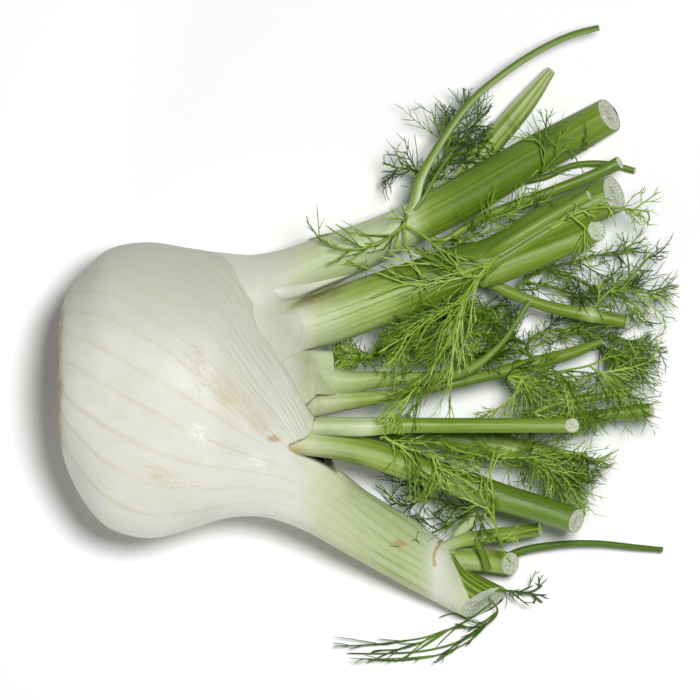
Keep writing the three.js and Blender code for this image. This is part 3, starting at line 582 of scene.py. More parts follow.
def vein_number(x, y):
    """Which vein passes over a place on the bulb: 0 at the free edge, 1 at the next guide, and so on."""
    gaps, sides = [], []
    for number, guide in enumerate(VEIN_GUIDES):
        share = number / (len(VEIN_GUIDES) - 1)
        tail = [(ux + (lx - ux) * share, uy + (ly - uy) * share)
                for lx, ly, ux, uy, _, _ in OUTER_SHEATH[-5:]]
        gap, side, _, _ = near_line(x, y, flat_curve(guide + tail, 44))
        gaps.append(gap)
        sides.append(side)
    gaps, sides = np.array(gaps), np.array(sides)
    below = np.clip((sides < 0).sum(axis=0), 1, len(gaps) - 1)
    index = np.arange(len(x))
    above, under = gaps[below - 1, index], gaps[below, index]
    number = below - 1 + above / np.maximum(above + under, 1e-6)
    number = np.where((sides > 0).all(axis=0), -above / 12, number)
    return np.where((sides < 0).all(axis=0), len(gaps) - 1 + under / 8, number)


def cut_along_edge(verts):
    """Draws the skin back to the sheath's free edge and rounds it. Returns how far past it each place was."""
    x, y = verts[:, 0].copy(), verts[:, 1].copy()
    edge = [(SHEATH_EDGE[0][0], 200), *flat_curve(SHEATH_EDGE, 240), (260, SHEATH_EDGE[-1][1])]
    gap, side, near_x, near_y = near_line(x, y, edge)
    past = gap * side
    rounding = EDGE_ROUNDING + (STALK_ROUNDING - EDGE_ROUNDING) * ramp(near_x, 44, 56) * (near_y < -22)
    # As the lesser of past and 0, but with a round corner.
    kept = 0.5 * (past - np.sqrt(past ** 2 + 4 * rounding ** 2)) * side / np.maximum(gap, 1e-6)
    sunk = ramp(past, 0.05, 0.8) * ramp(-near_y, 10.5, 12.5) * ramp(-near_x, -56, -50)
    verts[:, 2] -= np.maximum(verts[:, 2] - NOTCH_FLOOR, 0) * sunk
    close = past > -6 * rounding
    verts[close, 0] = (near_x + (x - near_x) * kept)[close]
    verts[close, 1] = (near_y + (y - near_y) * kept)[close]
    return past


def make_bulb_sheath():
    t = np.linspace(0, 1, 255)
    sections = sheath_sections(OUTER_SHEATH, t)
    depth = RIB_HEIGHT * ramp(sections[0][:, 0], 50, 75)
    part = loft(sections, t, 304, ribs(26, 5), depth, seed=3, slants=(0, 0.95))
    verts, tags = part.verts, part.tags
    past = cut_along_edge(verts)
    x, y, z = verts.T                    # these follow every change of verts
    skin = tags["cut"] == 0
    upper = np.where(x > 60, ramp(z, 9, 16), ramp(z, 24, 40))
    upper_half = ramp(z, 2, 7)
    vein = vein_number(x, y)
    crowded = ramp(-x, -30, 5)
    relief = VEIN_RELIEF * crest(vein, 0.09) * crowded
    relief += FOLD_RELIEF * (0.5 + 0.5 * np.cos(TAU * 3 * vein)) * (1 - crowded)
    relief += LUMP_RELIEF * smooth_noise(x / LUMP_SIZE, y / LUMP_SIZE, 21, 2)
    outward = unit((verts - BULB_MIDDLE) * (0.6, 1, 1.6))
    swelling = NODE_SWELLING * spot(x, y, *NODE_OVAL)
    verts += outward * (relief * ramp(-x, -78, -48) * skin * ramp(-past, 0.4, 4))[:, None]
    towards = (x - FLAP_LINE[0]) * FLAP_TOWARDS[0] + (y - FLAP_LINE[1]) * FLAP_TOWARDS[1]
    flap = ramp(towards / math.hypot(*FLAP_TOWARDS), 0, 0.8) * skin * ramp(x, 95, 99)
    z += (swelling * upper + FLAP_STEP * flap * ramp(z, 4, 9)) * skin
    np.maximum(z, 0, out=z)

    tags["vein"] = vein
    tags["fan"] = np.column_stack([vein * 3, np.hypot(x - WAIST[0], y - WAIST[1]) * 0.12, z * 0.02])
    green = np.interp(x, *zip(*BULB_GREEN))
    green += 0.09 * ramp(green, 0.05, 0.3) * crest(0.85 * vein + 0.1 * np.sin(x / 11 + vein), 0.13)
    angle = np.arctan2(tags["skin"][:, 1], tags["skin"][:, 0])
    stripes = np.cos(FLAP_STRIPES * angle + 0.9 * np.sin(5 * angle)) * 0.5 + 0.5
    tags["green"] = green + (0.92 - 0.5 * stripes ** 2 - green) * flap * upper_half
    arc = near_line(x, y, WORN_ARC)[0]
    # The grazes and worn spots are marks on the skin. The third set is painted glints.
    grazes, worn, painted_glints = (np.maximum.reduce([strength * spot(x, y, *oval) for strength, *oval in marks])
                               for marks in (GRAZES, WORN, PAINTED_GLINTS))
    worn = np.maximum(worn, 1.5 * np.exp(-(arc / 0.9) ** 2))
    tags["marks"] = np.column_stack([grazes, worn, painted_glints]) * upper[:, None]
    return part


# ---------------------------------------------------------------- leaves

# Where the middle leaf comes out from under the upper leaf's margin, seen from above.
MARGIN = [(29, 38), (32.5, 32.5), (37, 30), (40.6, 26.5), (41.6, 21.5), (40, 17), (37.8, 13.5), (36, 8)]
MARGIN_STEP = 0.35
MARGIN_GREEN = 0.1
SMOOTHING = 4            # sections on each side over which a lifted leaf is smoothed
SOFT_LIFT = 0.6          # rounds off the place where the lift begins, in square mm


def make_hull(rings=200, around=120):
    """The upper half of the outermost sheath before it is cut, to find its height over a place."""
    middle, side, up, _ = sheath_sections(OUTER_SHEATH, np.linspace(0, 1, rings))
    angle = np.linspace(0, math.pi, around)
    ring = middle[:, None] + ellipse(side, up, np.cos(angle), np.sin(angle))
    return BVHTree.FromPolygons(ring.reshape(-1, 3).tolist(), grid_faces(rings, around))


HULL = make_hull()


def lie_flush(part, inset):
    """Lifts the upper side of a leaf to so far under the outermost sheath, so that they meet without a step.

    The lifted side is smoothed along the leaf.
    """
    verts, tags = part.verts, part.tags
    across, above = tags["skin"][:, 0], tags["skin"][:, 1]
    upper = ramp(above / np.maximum(np.hypot(across, above), 1e-6), 0.0, 0.4)
    for i in np.flatnonzero((upper > 0) & (tags["cut"] == 0) & (verts[:, 0] < 62)):
        x, y, z = verts[i]
        hit = HULL.ray_cast((x, y, 200), (0, 0, -1))[0]
        if hit is not None:
            short = hit[2] - inset - z
            verts[i, 2] += upper[i] * (short + math.sqrt(short * short + SOFT_LIFT)) / 2
    around, count = (part.rims == 1).sum(), (tags["cut"] == 0).sum()
    x, z, share = (values[:count].reshape(-1, around) for values in (verts[:, 0], verts[:, 2], upper))
    wider = np.pad(z, ((SMOOTHING, SMOOTHING), (0, 0)), "edge")
    window = 2 * SMOOTHING + 1
    spread = sum(wider[step:step + len(z)] for step in range(window)) / window
    mask = share * ramp(x, 29, 33) * ramp(-x, -50, -45)
    verts[:count, 2] = (z + (spread - z) * mask).ravel()
    return part


def leaf_part(sections, t, seed, profile, rib_count, rib_height, around, slants, bands, squareness=2.0):
    """A ribbed leaf. The profile is how green it is along X, and each band an angle, a width and a change."""
    x_places, levels = zip(*profile)
    fade = 0.12 + 0.88 * ramp(np.interp(sections[0][:, 0], x_places, levels), 0.1, 0.45)
    part = loft(sections, t, around, ribs(rib_count, seed), rib_height * fade, seed, slants, squareness)
    angle = np.arctan2(part.tags["skin"][:, 1], part.tags["skin"][:, 0])
    green = np.interp(part.verts[:, 0], x_places, levels)
    for centre, width, amount in bands:
        off = wrapped(angle - math.radians(centre))
        green = green + amount * np.minimum(green / 0.5, 1) * np.exp(-(off / math.radians(width)) ** 2)
    part.tags["green"] = np.clip(green, 0, 1)
    part.verts[:, 2] = np.maximum(part.verts[:, 2], 0.02)
    return part


def sheath_part(rows, seed, profile, around, pitch, slants, bands):
    t = even_steps([((r[0] + r[2]) / 2, (r[1] + r[3]) / 2, r[4]) for r in rows], pitch)
    return leaf_part(sheath_sections(rows, t), t, seed, profile, 36, 0.11, around, slants, bands)


def stalk_part(route, seed, profile, rib_count=18, rib_height=0.1, around=96, pitch=1.1, slants=(0, 0.4),
               bands=(), squareness=2.0):
    t = even_steps(route, pitch, 12)
    return leaf_part(stalk_sections(route, t), t, seed, profile, rib_count, rib_height, around, slants, bands,
                     squareness)


def thin_part(route, seed, profile, around=20):
    return stalk_part(route, seed, profile, rib_count=5, rib_height=0.06, around=around, pitch=1.6)


def plain(level):
    return [(0, level), (200, level)]


def make_middle_sheath():
    part = lie_flush(sheath_part(
        MIDDLE_SHEATH, 51,
        [(30, 0.04), (41, 0.08), (48, 0.25), (58, 0.36), (72, 0.47), (84, 0.68), (100, 0.78), (130, 0.76),
         (158, 0.66)],
        around=240, pitch=0.65, slants=(0, 0.55), bands=[(135, 22, 0.06), (62, 22, -0.08)]), 0.95)
    x, y, z = part.verts.T
    gap, side, _, _ = near_line(x, y, flat_curve(MARGIN, 90))
    inside = ramp(-gap * side, -0.25, 0.25) * (x < 44) * (part.tags["cut"] == 0)
    z += MARGIN_STEP * inside * (z > 38)
    part.tags["green"] += (MARGIN_GREEN - part.tags["green"]) * inside
    # Painted shadow of the lobe, with some olive-brown staining: a dark band runs along the leaf a little
    # below the lobe.
    under = near_line(x, y + 4.6, flat_curve(SHEATH_LOBE[:-2], 60))[0]
    part.tags["shade_and_stain"] = np.exp(-(under / 2.6) ** 2) * ramp(x, 31.5, 36) * ramp(-x, -62, -50)
    return part


def marked(part, label, strength, *oval):
    """Adds a soft spot to a tag, such as painted shade with an olive-brown tint, or a browner patch."""
    part.tags[label] = strength * spot(part.verts[:, 0], part.verts[:, 1], *oval)
    return part


LEAVES = {
    "bulb": [
        make_bulb_sheath(),
        stalk_part(LOWER_SHOOT, 31, [(92, 0.12), (100, 0.35), (118, 0.45)], 12, 0.12, 72, slants=(0, 0.9),
                   bands=[(120, 25, 0.2)]),
        stalk_part(LOWER_BRANCH, 32, [(92, 0.15), (105, 0.5), (130, 0.62)], 10, 0.1, 48),
        stalk_part(LOWER_TWIG, 33, [(90, 0.1), (108, 0.35)], 8, 0.08, 40),
        thin_part(LOWER_ARM, 34, [(100, 0.75), (130, 0.98)]),
        thin_part(LOWER_FLAP, 35, plain(0.8)),
    ],
    "upper_leaf": [
        lie_flush(sheath_part(
            UPPER_SHEATH, 41,
            [(26, 0.06), (36, 0.12), (44, 0.18), (60, 0.24), (76, 0.2), (83, 0.26), (90, 0.56), (100, 0.74),
             (115, 0.8), (135, 0.76), (146, 0.64), (160, 0.56)],
            around=200, pitch=0.75, slants=(0, 0.8),
            bands=[(128, 30, 0.05), (62, 26, 0.08), (98, 8, -0.06)]), 0.5),
        stalk_part(SHEATH_LOBE, 44, plain(0.06), 6, 0.05, 48, 0.8, (0, 0)),
        stalk_part(HIGH_ARM, 42, [(78, 0.35), (92, 0.75), (152, 0.9)], 8, 0.07, 36, bands=[(50, 26, -0.5)]),
        thin_part(ARM_COMPANION, 45, plain(0.7)),
        stalk_part(FINE_SHOOT, 43, [(90, 0.5), (130, 0.75)], 8, 0.08, 36),
    ],
    "middle_leaf": [
        make_middle_sheath(),
        stalk_part(MIDDLE_SHOOT, 52, [(105, 0.5), (125, 0.62), (150, 0.55)], 16, 0.1, 80, slants=(0, 0.8),
                   bands=[(120, 20, 0.1)]),
        thin_part(MIDDLE_TWIG, 53, plain(0.62), 24),
        stalk_part(SIDE_STALK, 54, [(105, 0.5), (130, 0.62), (144, 0.6), (149, 0.3), (155, 0.6), (162, 0.62)],
                   9, 0.08, 40),
    ],
    "inner_leaf": [
        lie_flush(stalk_part(
            INNER_LEAF, 61, [(34, 0.08), (44, 0.16), (54, 0.26), (66, 0.4), (100, 0.66), (126, 0.8)],
            14, 0.1, 120, 0.6), 1.25),
        lie_flush(stalk_part(HEART_BLOCK, 69, [(34, 0.1), (44, 0.2), (52, 0.2)], 10, 0.07, 120, 0.5, (0, 0.1),
                             squareness=3.6), 1.6),
    ],
    "front_stalk": [
        # Its narrow pale band along the top is a painted highlight.
        stalk_part(FRONT_STALK, 62, [(46, 0.24), (58, 0.26), (66, 0.2), (72, 0.5), (100, 0.62), (140, 0.58)],
                   16, 0.09, 84, slants=(0, 1.0), bands=[(90, 14, -0.1), (130, 25, 0.06)]),
    ],
    "lower_stalk": [
        # A browner patch on the base, beside the sheath's lip.
        marked(stalk_part(LOWER_STALK, 63, [(42, 0.2), (60, 0.4), (90, 0.62), (122, 0.82), (143, 0.78)], 16,
                          slants=(0, 0.65), bands=[(135, 28, 0.1), (75, 16, -0.08)]),
               "corner_brown", 0.85, 39, -22, 4, 2.4),
    ],
    "heart_leaf": [
        # Painted shade with an olive tint, on the heart leaf's base just below the heart block.
        marked(stalk_part(HEART_LEAF, 64, [(45, 0.12), (62, 0.36), (100, 0.66), (150, 0.62)], 9, 0.08, 64),
               "shade_and_stain", 0.8, 45, -5, 6, 4),
    ],
    "back_stalk": [
        stalk_part(BACK_STALK, 65, [(40, 0.2), (60, 0.55), (90, 0.68), (125, 0.5), (147, 0.36)], 16, 0.1, 80),
        stalk_part(BACK_BRANCH, 66, plain(0.68), 9, 0.08, 40),
        thin_part(BACK_TWIG, 67, plain(0.75)),
    ],
    "far_leaf": [
        stalk_part(FAR_LEAF, 68, [(60, 0.3), (90, 0.66), (115, 0.6), (135, 0.45)], 14, 0.1, 64,
                   bands=[(150, 25, -0.35), (100, 9, -0.3), (60, 12, -0.25)]),
        thin_part(FAR_TWIG, 69, plain(0.8)),
    ],
}


# ---------------------------------------------------------------- fronds

# Leaflets leave the stems, threads leave the leaflets and forks leave the threads. The length of a leaflet
# is in mm, and that of the others a share of the line that they leave, up to LONGEST_PARENT.
STEM_RADII = (0.6, 0.34)
LEAFLETS = dict(spacing=4.8, length=17.0, lean=0.72, curl=0.24, radii=(0.36, 0.23), points=9, sides=4,
                contrast=0.26)
THREADS = dict(spacing=3.7, length=0.72, lean=0.75, curl=0.22, radii=(0.27, 0.17), points=6, sides=3,
               contrast=0.1)
FORKS = dict(spacing=5.2, length=0.62, lean=0.65, curl=0.14, radii=(0.21, 0.13), points=4, sides=3,
             contrast=0.1)
STEM_PITCH = 1.6
STEM_SHADE = 0.5         # shades run from 0, dark, to 1, pale
# Painted light: the higher threads are paler, and the lower ones darker, as if in the shade of those above.
PAINTED_LIGHT_HEIGHTS = (8, 48)       # heights between which the threads get paler
LONGEST_PARENT = 15
LEAST_LENGTH = 0.8       # shorter threads are left out
MARGIN_ROUND = 1.0       # how far threads may pass the box of the frame's frond
CLEAR = 0.45             # height of the lowest threads over the table
LOWEST = -102.5          # how far down the foliage reaches, seen from above
OPENINGS = ((97, -5, 115, 1.5), (137, 7.5, 152, 13.5))     # where the table shows: x and y from, x and y to


def keep_outs():
    """Spans of lines with a radius that stand for the stalks, for threads to lie on."""
    spans = []
    for rows in (OUTER_SHEATH, UPPER_SHEATH, MIDDLE_SHEATH):
        middle, side, up, _ = sheath_sections(rows, np.linspace(0, 1, 3 * len(rows)))
        radius = np.minimum(np.linalg.norm(side, axis=1), np.linalg.norm(up, axis=1))
        spans += zip(middle, middle[1:], (radius[:-1] + radius[1:]) / 2)
    for route in (HIGH_ARM, FINE_SHOOT, MIDDLE_SHOOT, MIDDLE_TWIG, SIDE_STALK, FAR_LEAF, FAR_TWIG, INNER_LEAF,
                  HEART_LEAF, FRONT_STALK, LOWER_STALK, BACK_STALK, BACK_BRANCH, BACK_TWIG, LOWER_SHOOT,
                  LOWER_BRANCH, LOWER_TWIG, LOWER_ARM, LOWER_FLAP, HEART_BLOCK):
        spans += [(np.array(a[:3], float), np.array(b[:3], float), (a[3] + b[3]) / 2)
                  for a, b in zip(route, route[1:])]
    return spans


STALK_SPANS = keep_outs()


def push_out(points, clearance=0.3):
    """Moves the points that lie in a stalk to its surface."""
    points = points.copy()
    for a, b, radius in STALK_SPANS:
        low, high = np.minimum(a, b) - radius - 1, np.maximum(a, b) + radius + 1
        near = np.flatnonzero(((points > low) & (points < high)).all(axis=1))
        if len(near) == 0:
            continue
        p = points[near]
        w = np.clip(((p - a) @ (b - a)) / max(float((b - a) @ (b - a)), 1e-9), 0, 1)
        foot = a + w[:, None] * (b - a)
        inside = np.linalg.norm(p - foot, axis=1) < radius + clearance
        points[near[inside]] = (foot + unit(p - foot + (0, 0, 1e-3)) * (radius + clearance))[inside]
    return points


def offshoots(lines, tier, rng):
    """Threads that leave the lines at uneven distances, left and right in turn, and each one's parent."""
    lengths = np.linalg.norm(np.diff(lines, axis=1), axis=2).sum(1)
    counts = np.maximum(1, rng.poisson(2 * lengths / tier["spacing"]))
    parent = np.repeat(np.arange(len(lines)), counts)
    order = np.concatenate([np.arange(c) for c in counts])
    s = (order + rng.uniform(0.1, 0.9, len(parent))) / counts[parent]
    s = np.clip(s, 0.04, 0.98)
    place = s * (lines.shape[1] - 1)
    i = np.minimum(place.astype(int), lines.shape[1] - 2)
    w = (place - i)[:, None]
    before, after = lines[parent, i], lines[parent, i + 1]
    forward = unit(after - before)
    side = unit(np.cross(forward, (0, 0, 1)) + 1e-6)
    up = np.cross(side, forward)
    turn = np.where(order % 2 == 0, 1.0, -1.0)[:, None]
    lean = (tier["lean"] * rng.uniform(0.55, 1.45, len(parent)))[:, None]
    tilt = rng.normal(0, 0.8, len(parent))[:, None]
    reach = tier["length"] * rng.lognormal(-0.1, 0.38, len(parent))
    if tier["length"] > 1:
        reach = reach * (0.55 + 0.45 * np.sin(np.pi * (0.1 + 0.8 * s)))
    else:
        reach = reach * np.minimum(lengths[parent], LONGEST_PARENT) * (1 - 0.45 * s)
    out = np.cos(lean) * forward + np.sin(lean) * (np.cos(tilt) * turn * side + np.sin(tilt) * up)
    bow = rng.uniform(0.0, 0.3, len(parent))[:, None] * forward
    bow += rng.normal(0, tier["curl"], (len(parent), 3))
    step = np.linspace(0, 1, tier["points"])[:, None]
    path = reach[:, None, None] * (out[:, None] * step + bow[:, None] * step ** 2)
    return (before * (1 - w) + after * w)[:, None] + path, parent


def fit_in(lines, low, high):
    """Shortens the threads that would pass the frond's reach. The second result is which ones to keep."""
    root = lines[:, :1]
    move = lines - root
    room = np.where(move > 0, high - root, root - low)
    share = np.where(np.abs(move) > 1e-6, room / np.maximum(np.abs(move), 1e-6), 9)
    lines = root + move * np.clip(share.min(axis=(1, 2)), 0, 1)[:, None, None]
    keep = np.linalg.norm(lines[:, -1] - lines[:, 0], axis=1) > LEAST_LENGTH
    for opening in np.reshape(OPENINGS, (-1, 2, 2)):
        keep &= ~((lines[..., :2] > opening[0]) & (lines[..., :2] < opening[1])).all(axis=2).any(axis=1)
    return lines, keep


def tube_mesh(lines, radii, sides):
    """Thin closed tubes on many lines at once: vertices and faces."""
    count, points = lines.shape[:2]
    forward = unit(np.gradient(lines, axis=1))
    steep = np.abs(forward[..., 2:]) > 0.9
    side = unit(np.cross(forward, np.where(steep, (1.0, 0.0, 0.0), (0.0, 0.0, 1.0))))
    up = np.cross(side, forward)
    width = np.linspace(*radii, points)
    width[-1] *= 0.4
    angle = np.arange(sides) / sides * TAU
    ring = lines[:, :, None] + width[:, None, None] * ellipse(side, up, np.cos(angle), np.sin(angle))
    n, i, j = np.meshgrid(np.arange(count), np.arange(points - 1), np.arange(sides), indexing="ij")
    start, k = (n * points + i) * sides, (j + 1) % sides
    quads = np.stack([start + j, start + sides + j, start + sides + k, start + k], -1).reshape(-1, 4)
    base, turn = np.arange(count)[:, None] * points * sides, np.arange(sides)
    caps = (base + turn).tolist() + (base + (points - 1) * sides + turn[::-1]).tolist()
    return ring.reshape(-1, 3), quads.tolist() + caps


def make_frond(node, style, stems, seed):
    rng = np.random.default_rng(seed)
    low, high = np.array(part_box(node)) / MM
    low, high = low - MARGIN_ROUND, high + MARGIN_ROUND
    low[1:] = max(low[1], LOWEST), max(low[2], CLEAR - 0.05)
    parts = []

    def add(lines, shade, radii, sides, **_):
        verts, faces = tube_mesh(lines, radii, sides)
        # Painted light and shade: a thread is paler the higher it lies.
        painted_light_up = ramp(lines[..., 2], *PAINTED_LIGHT_HEIGHTS)
        shade = np.reshape(shade, (-1, 1)) + style.get("tone", 0) + 0.5 * painted_light_up - 0.24
        tip = np.broadcast_to(np.linspace(0, 1, lines.shape[1]), shade.shape)
        parts.append(Part(verts, faces, np.zeros(len(verts), int),
                          {"tone": np.repeat(shade.ravel(), sides), "tip": np.repeat(tip.ravel(), sides)}))

    def grow(lines, shade, tier):
        """The next threads, laid on the stalks, with their own shades close to their parents'."""
        new, parent = offshoots(lines, tier, rng)
        new, keep = fit_in(new, low, high)
        new, shade = new[keep], shade[parent[keep]] + rng.normal(0, tier["contrast"], keep.sum())
        laid = push_out(new.reshape(-1, 3)).reshape(new.shape)
        laid[..., 2] = np.maximum(laid[..., 2], CLEAR)
        laid[:, 0] = new[:, 0]
        return laid, shade

    def styled(tier, **factors):
        """A tier with this frond's factors, where the spacing is divided by its own."""
        own = dict(tier, spacing=tier["spacing"] / style.get(factors.pop("spacing"), 1))
        return dict(own, **{key: tier[key] * style.get(word, 1) for key, word in factors.items()})

    first = styled(LEAFLETS, spacing="density", length="reach", curl="curl")
    first["lean"] = style.get("lean", first["lean"])
    leaflets = []
    for order, stem in enumerate(stems):
        if not isinstance(stem[0], tuple):
            stem = [stems[0][stem[0]], *stem[1:]]
        line = spline(stem, even_steps(stem, STEM_PITCH, 8))[None]
        radii = np.multiply(STEM_RADII, style.get("stem", 1)) * ((0.75, 1) if order else (1, 1))
        add(line, STEM_SHADE + 0.05, radii, 6)
        leaflets.append(grow(line, np.array([STEM_SHADE]), first))
    lines, shade = (np.concatenate(values) for values in zip(*leaflets))
    add(lines, shade, **first)
    for tier in (THREADS, FORKS) if style.get("forks", True) else (THREADS,):
        tier = styled(tier, spacing="fine", lean="spread", curl="curl")
        lines, shade = grow(lines, shade, tier)
        add(lines, shade, **tier)
    return add_mesh(node + "_threads", merge(parts))


# ---------------------------------------------------------------- materials

class Nodes:
    """Short ways to add and join the nodes of one material."""

    def __init__(self, name):
        self.material = bpy.data.materials.new(name)
        self.material.use_nodes = True
        self.tree = self.material.node_tree
        self.shader = self.tree.nodes["Principled BSDF"]

    def add(self, kind, inputs=(), **settings):
        node = self.tree.nodes.new("ShaderNode" + kind)
        for key, value in settings.items():
            setattr(node, key, value)
        for key, value in dict(inputs).items():
            self.set(node.inputs[key], value)
        return node

    def set(self, socket, value):
        if isinstance(value, bpy.types.NodeSocket):
            self.tree.links.new(value, socket)
        elif socket.type == "RGBA":
            socket.default_value = (*value, 1)
        else:
            socket.default_value = value

    def value(self, label):
        return self.add("Attribute", attribute_name=label).outputs["Fac"]

    def vector(self, label):
        return self.add("Attribute", attribute_name=label).outputs["Vector"]

    def place(self):
        return self.add("TexCoord").outputs["Object"]

    def parts(self, vector):
        return self.add("SeparateXYZ", {0: vector}).outputs

    def scaled(self, vector, scale):
        return self.add("VectorMath", {0: vector, 1: scale}, operation="MULTIPLY").outputs[0]

    def math(self, operation, first, *others):
        for other in others:
            first = self.add("Math", {0: first, 1: other}, operation=operation).outputs[0]
        return first

    times = partialmethod(math, "MULTIPLY")
    plus = partialmethod(math, "ADD")
    minus = partialmethod(math, "SUBTRACT")

    def noise(self, vector, scale, detail=3.0, roughness=0.55):
        return self.add("TexNoise", {
            "Vector": vector, "Scale": scale, "Detail": detail, "Roughness": roughness}).outputs["Fac"]

    def shift(self, factor, amount):
        """A noise from 0 to 1 as a shift from -amount / 2 to amount / 2."""
        return self.times(self.minus(factor, 0.5), amount)

    def curve(self, factor, low, high, to_low=0.0, to_high=1.0):
        return self.add("MapRange", {
            "Value": factor, "From Min": low, "From Max": high, "To Min": to_low, "To Max": to_high},
            interpolation_type="SMOOTHSTEP").outputs[0]

    def colours(self, factor, *stops):
        node = self.add("ValToRGB", {"Fac": factor})
        elements = node.color_ramp.elements
        while len(elements) < len(stops):
            elements.new(0.5)
        for element, (place, colour) in zip(elements, stops):
            element.position = place
            element.color = (*colour, 1)
        return node.outputs["Color"]

    def mix(self, factor, a, b):
        return self.add("Mix", data_type="RGBA", inputs={0: factor, 6: a, 7: b}).outputs[2]

    def finish(self, colour, roughness, heights, strength, distance, flesh, specular):
        """The skin's shader. Bumps of the given heights stand out by the distance, in metres."""
        bump = self.add("Bump", {"Height": heights, "Strength": strength, "Distance": distance})
        self.settings({
            "Base Color": colour, "Roughness": roughness, "Normal": bump.outputs["Normal"],
            "Specular IOR Level": specular, "Subsurface Weight": flesh,
            "Subsurface Radius": (0.0018, 0.002, 0.001), "Subsurface Scale": 1.0})
        return self.material

    def settings(self, values):
        for key, value in values.items():
            self.set(self.shader.inputs[key], value)


# Colours from pale to dark for the stalks, and from dark to pale for the fronds, the pith and the bark.
GREENS = (
    (0.0, (0.715, 0.72, 0.645)), (0.2, (0.52, 0.575, 0.35)), (0.4, (0.30, 0.39, 0.095)),
    (0.6, (0.175, 0.27, 0.022)), (0.8, (0.11, 0.20, 0.01)), (1.0, (0.065, 0.15, 0.005)),
)
FROND_GREENS = (
    (0.1, (0.03, 0.08, 0.003)), (0.35, (0.095, 0.195, 0.008)), (0.6, (0.18, 0.32, 0.018)),
    (0.85, (0.30, 0.455, 0.045)), (1.0, (0.43, 0.58, 0.13)),
)
PITH = (
    (0.36, (0.20, 0.28, 0.10)), (0.45, (0.46, 0.52, 0.32)), (0.52, (0.66, 0.70, 0.53)),
    (0.6, (0.88, 0.89, 0.82)),
)
BARK = ((0.25, (0.16, 0.10, 0.035)), (0.5, (0.42, 0.31, 0.14)), (0.75, (0.60, 0.52, 0.30)))
WHITE, CREAM = (0.74, 0.74, 0.68), (0.67, 0.675, 0.59)
# The second colour on the next line is painted shade for the bulb's upper right.
STREAK, PAINTED_SHADE = (0.66, 0.66, 0.54), (0.545, 0.565, 0.465)
STRONG_VEIN, FAINT_VEIN, COMBED_VEIN = (0.61, 0.585, 0.43), (0.60, 0.60, 0.43), (0.47, 0.50, 0.30)
# The second colour on the next line paints highlights as near-white glints.
TAN, GLINT_WHITE = (0.61, 0.52, 0.28), (0.92, 0.92, 0.90)
BROWN = (0.42, 0.26, 0.10)
# An olive brown for painted shade, with some staining, where one leaf lies by another.
OLIVE_SHADE_AND_STAIN = (0.20, 0.16, 0.015)


def cut_face(n, colour):
    """The pith of a cut end: pale and pitted, inside a rim of the skin's colour."""
    cells = n.noise(n.scaled(n.vector("skin"), (1, 1, 0.2)), 1.5, 4, 0.85)
    return n.mix(n.curve(n.value("cut"), 0.4, 0.85), colour, n.colours(cells, *PITH))


def stalk_colour(n, green, place):
    """Green skin in fine streaks, darker in the grooves and paler on the crests."""
    skin, ridge = n.vector("skin"), n.value("ridge")
    streaks = n.noise(n.scaled(skin, (1.3, 1.3, 0.02)), 1.6, 5, 0.6)
    hair = n.noise(n.scaled(skin, (4.5, 4.5, 0.04)), 1.6, 3, 0.6)
    shift = n.plus(n.shift(streaks, 0.16), n.shift(hair, 0.2), n.shift(n.noise(place, 90, 4), 0.18))
    shift = n.minus(shift, n.times(n.curve(ridge, 0.0, 0.4), 0.05))
    shift = n.plus(shift, n.times(n.curve(ridge, 0.0, -0.8), 0.08))
    strength = n.curve(green, 0.04, 0.62, 0.06, 1.0)
    return n.colours(n.plus(green, n.times(shift, strength)), *GREENS), streaks


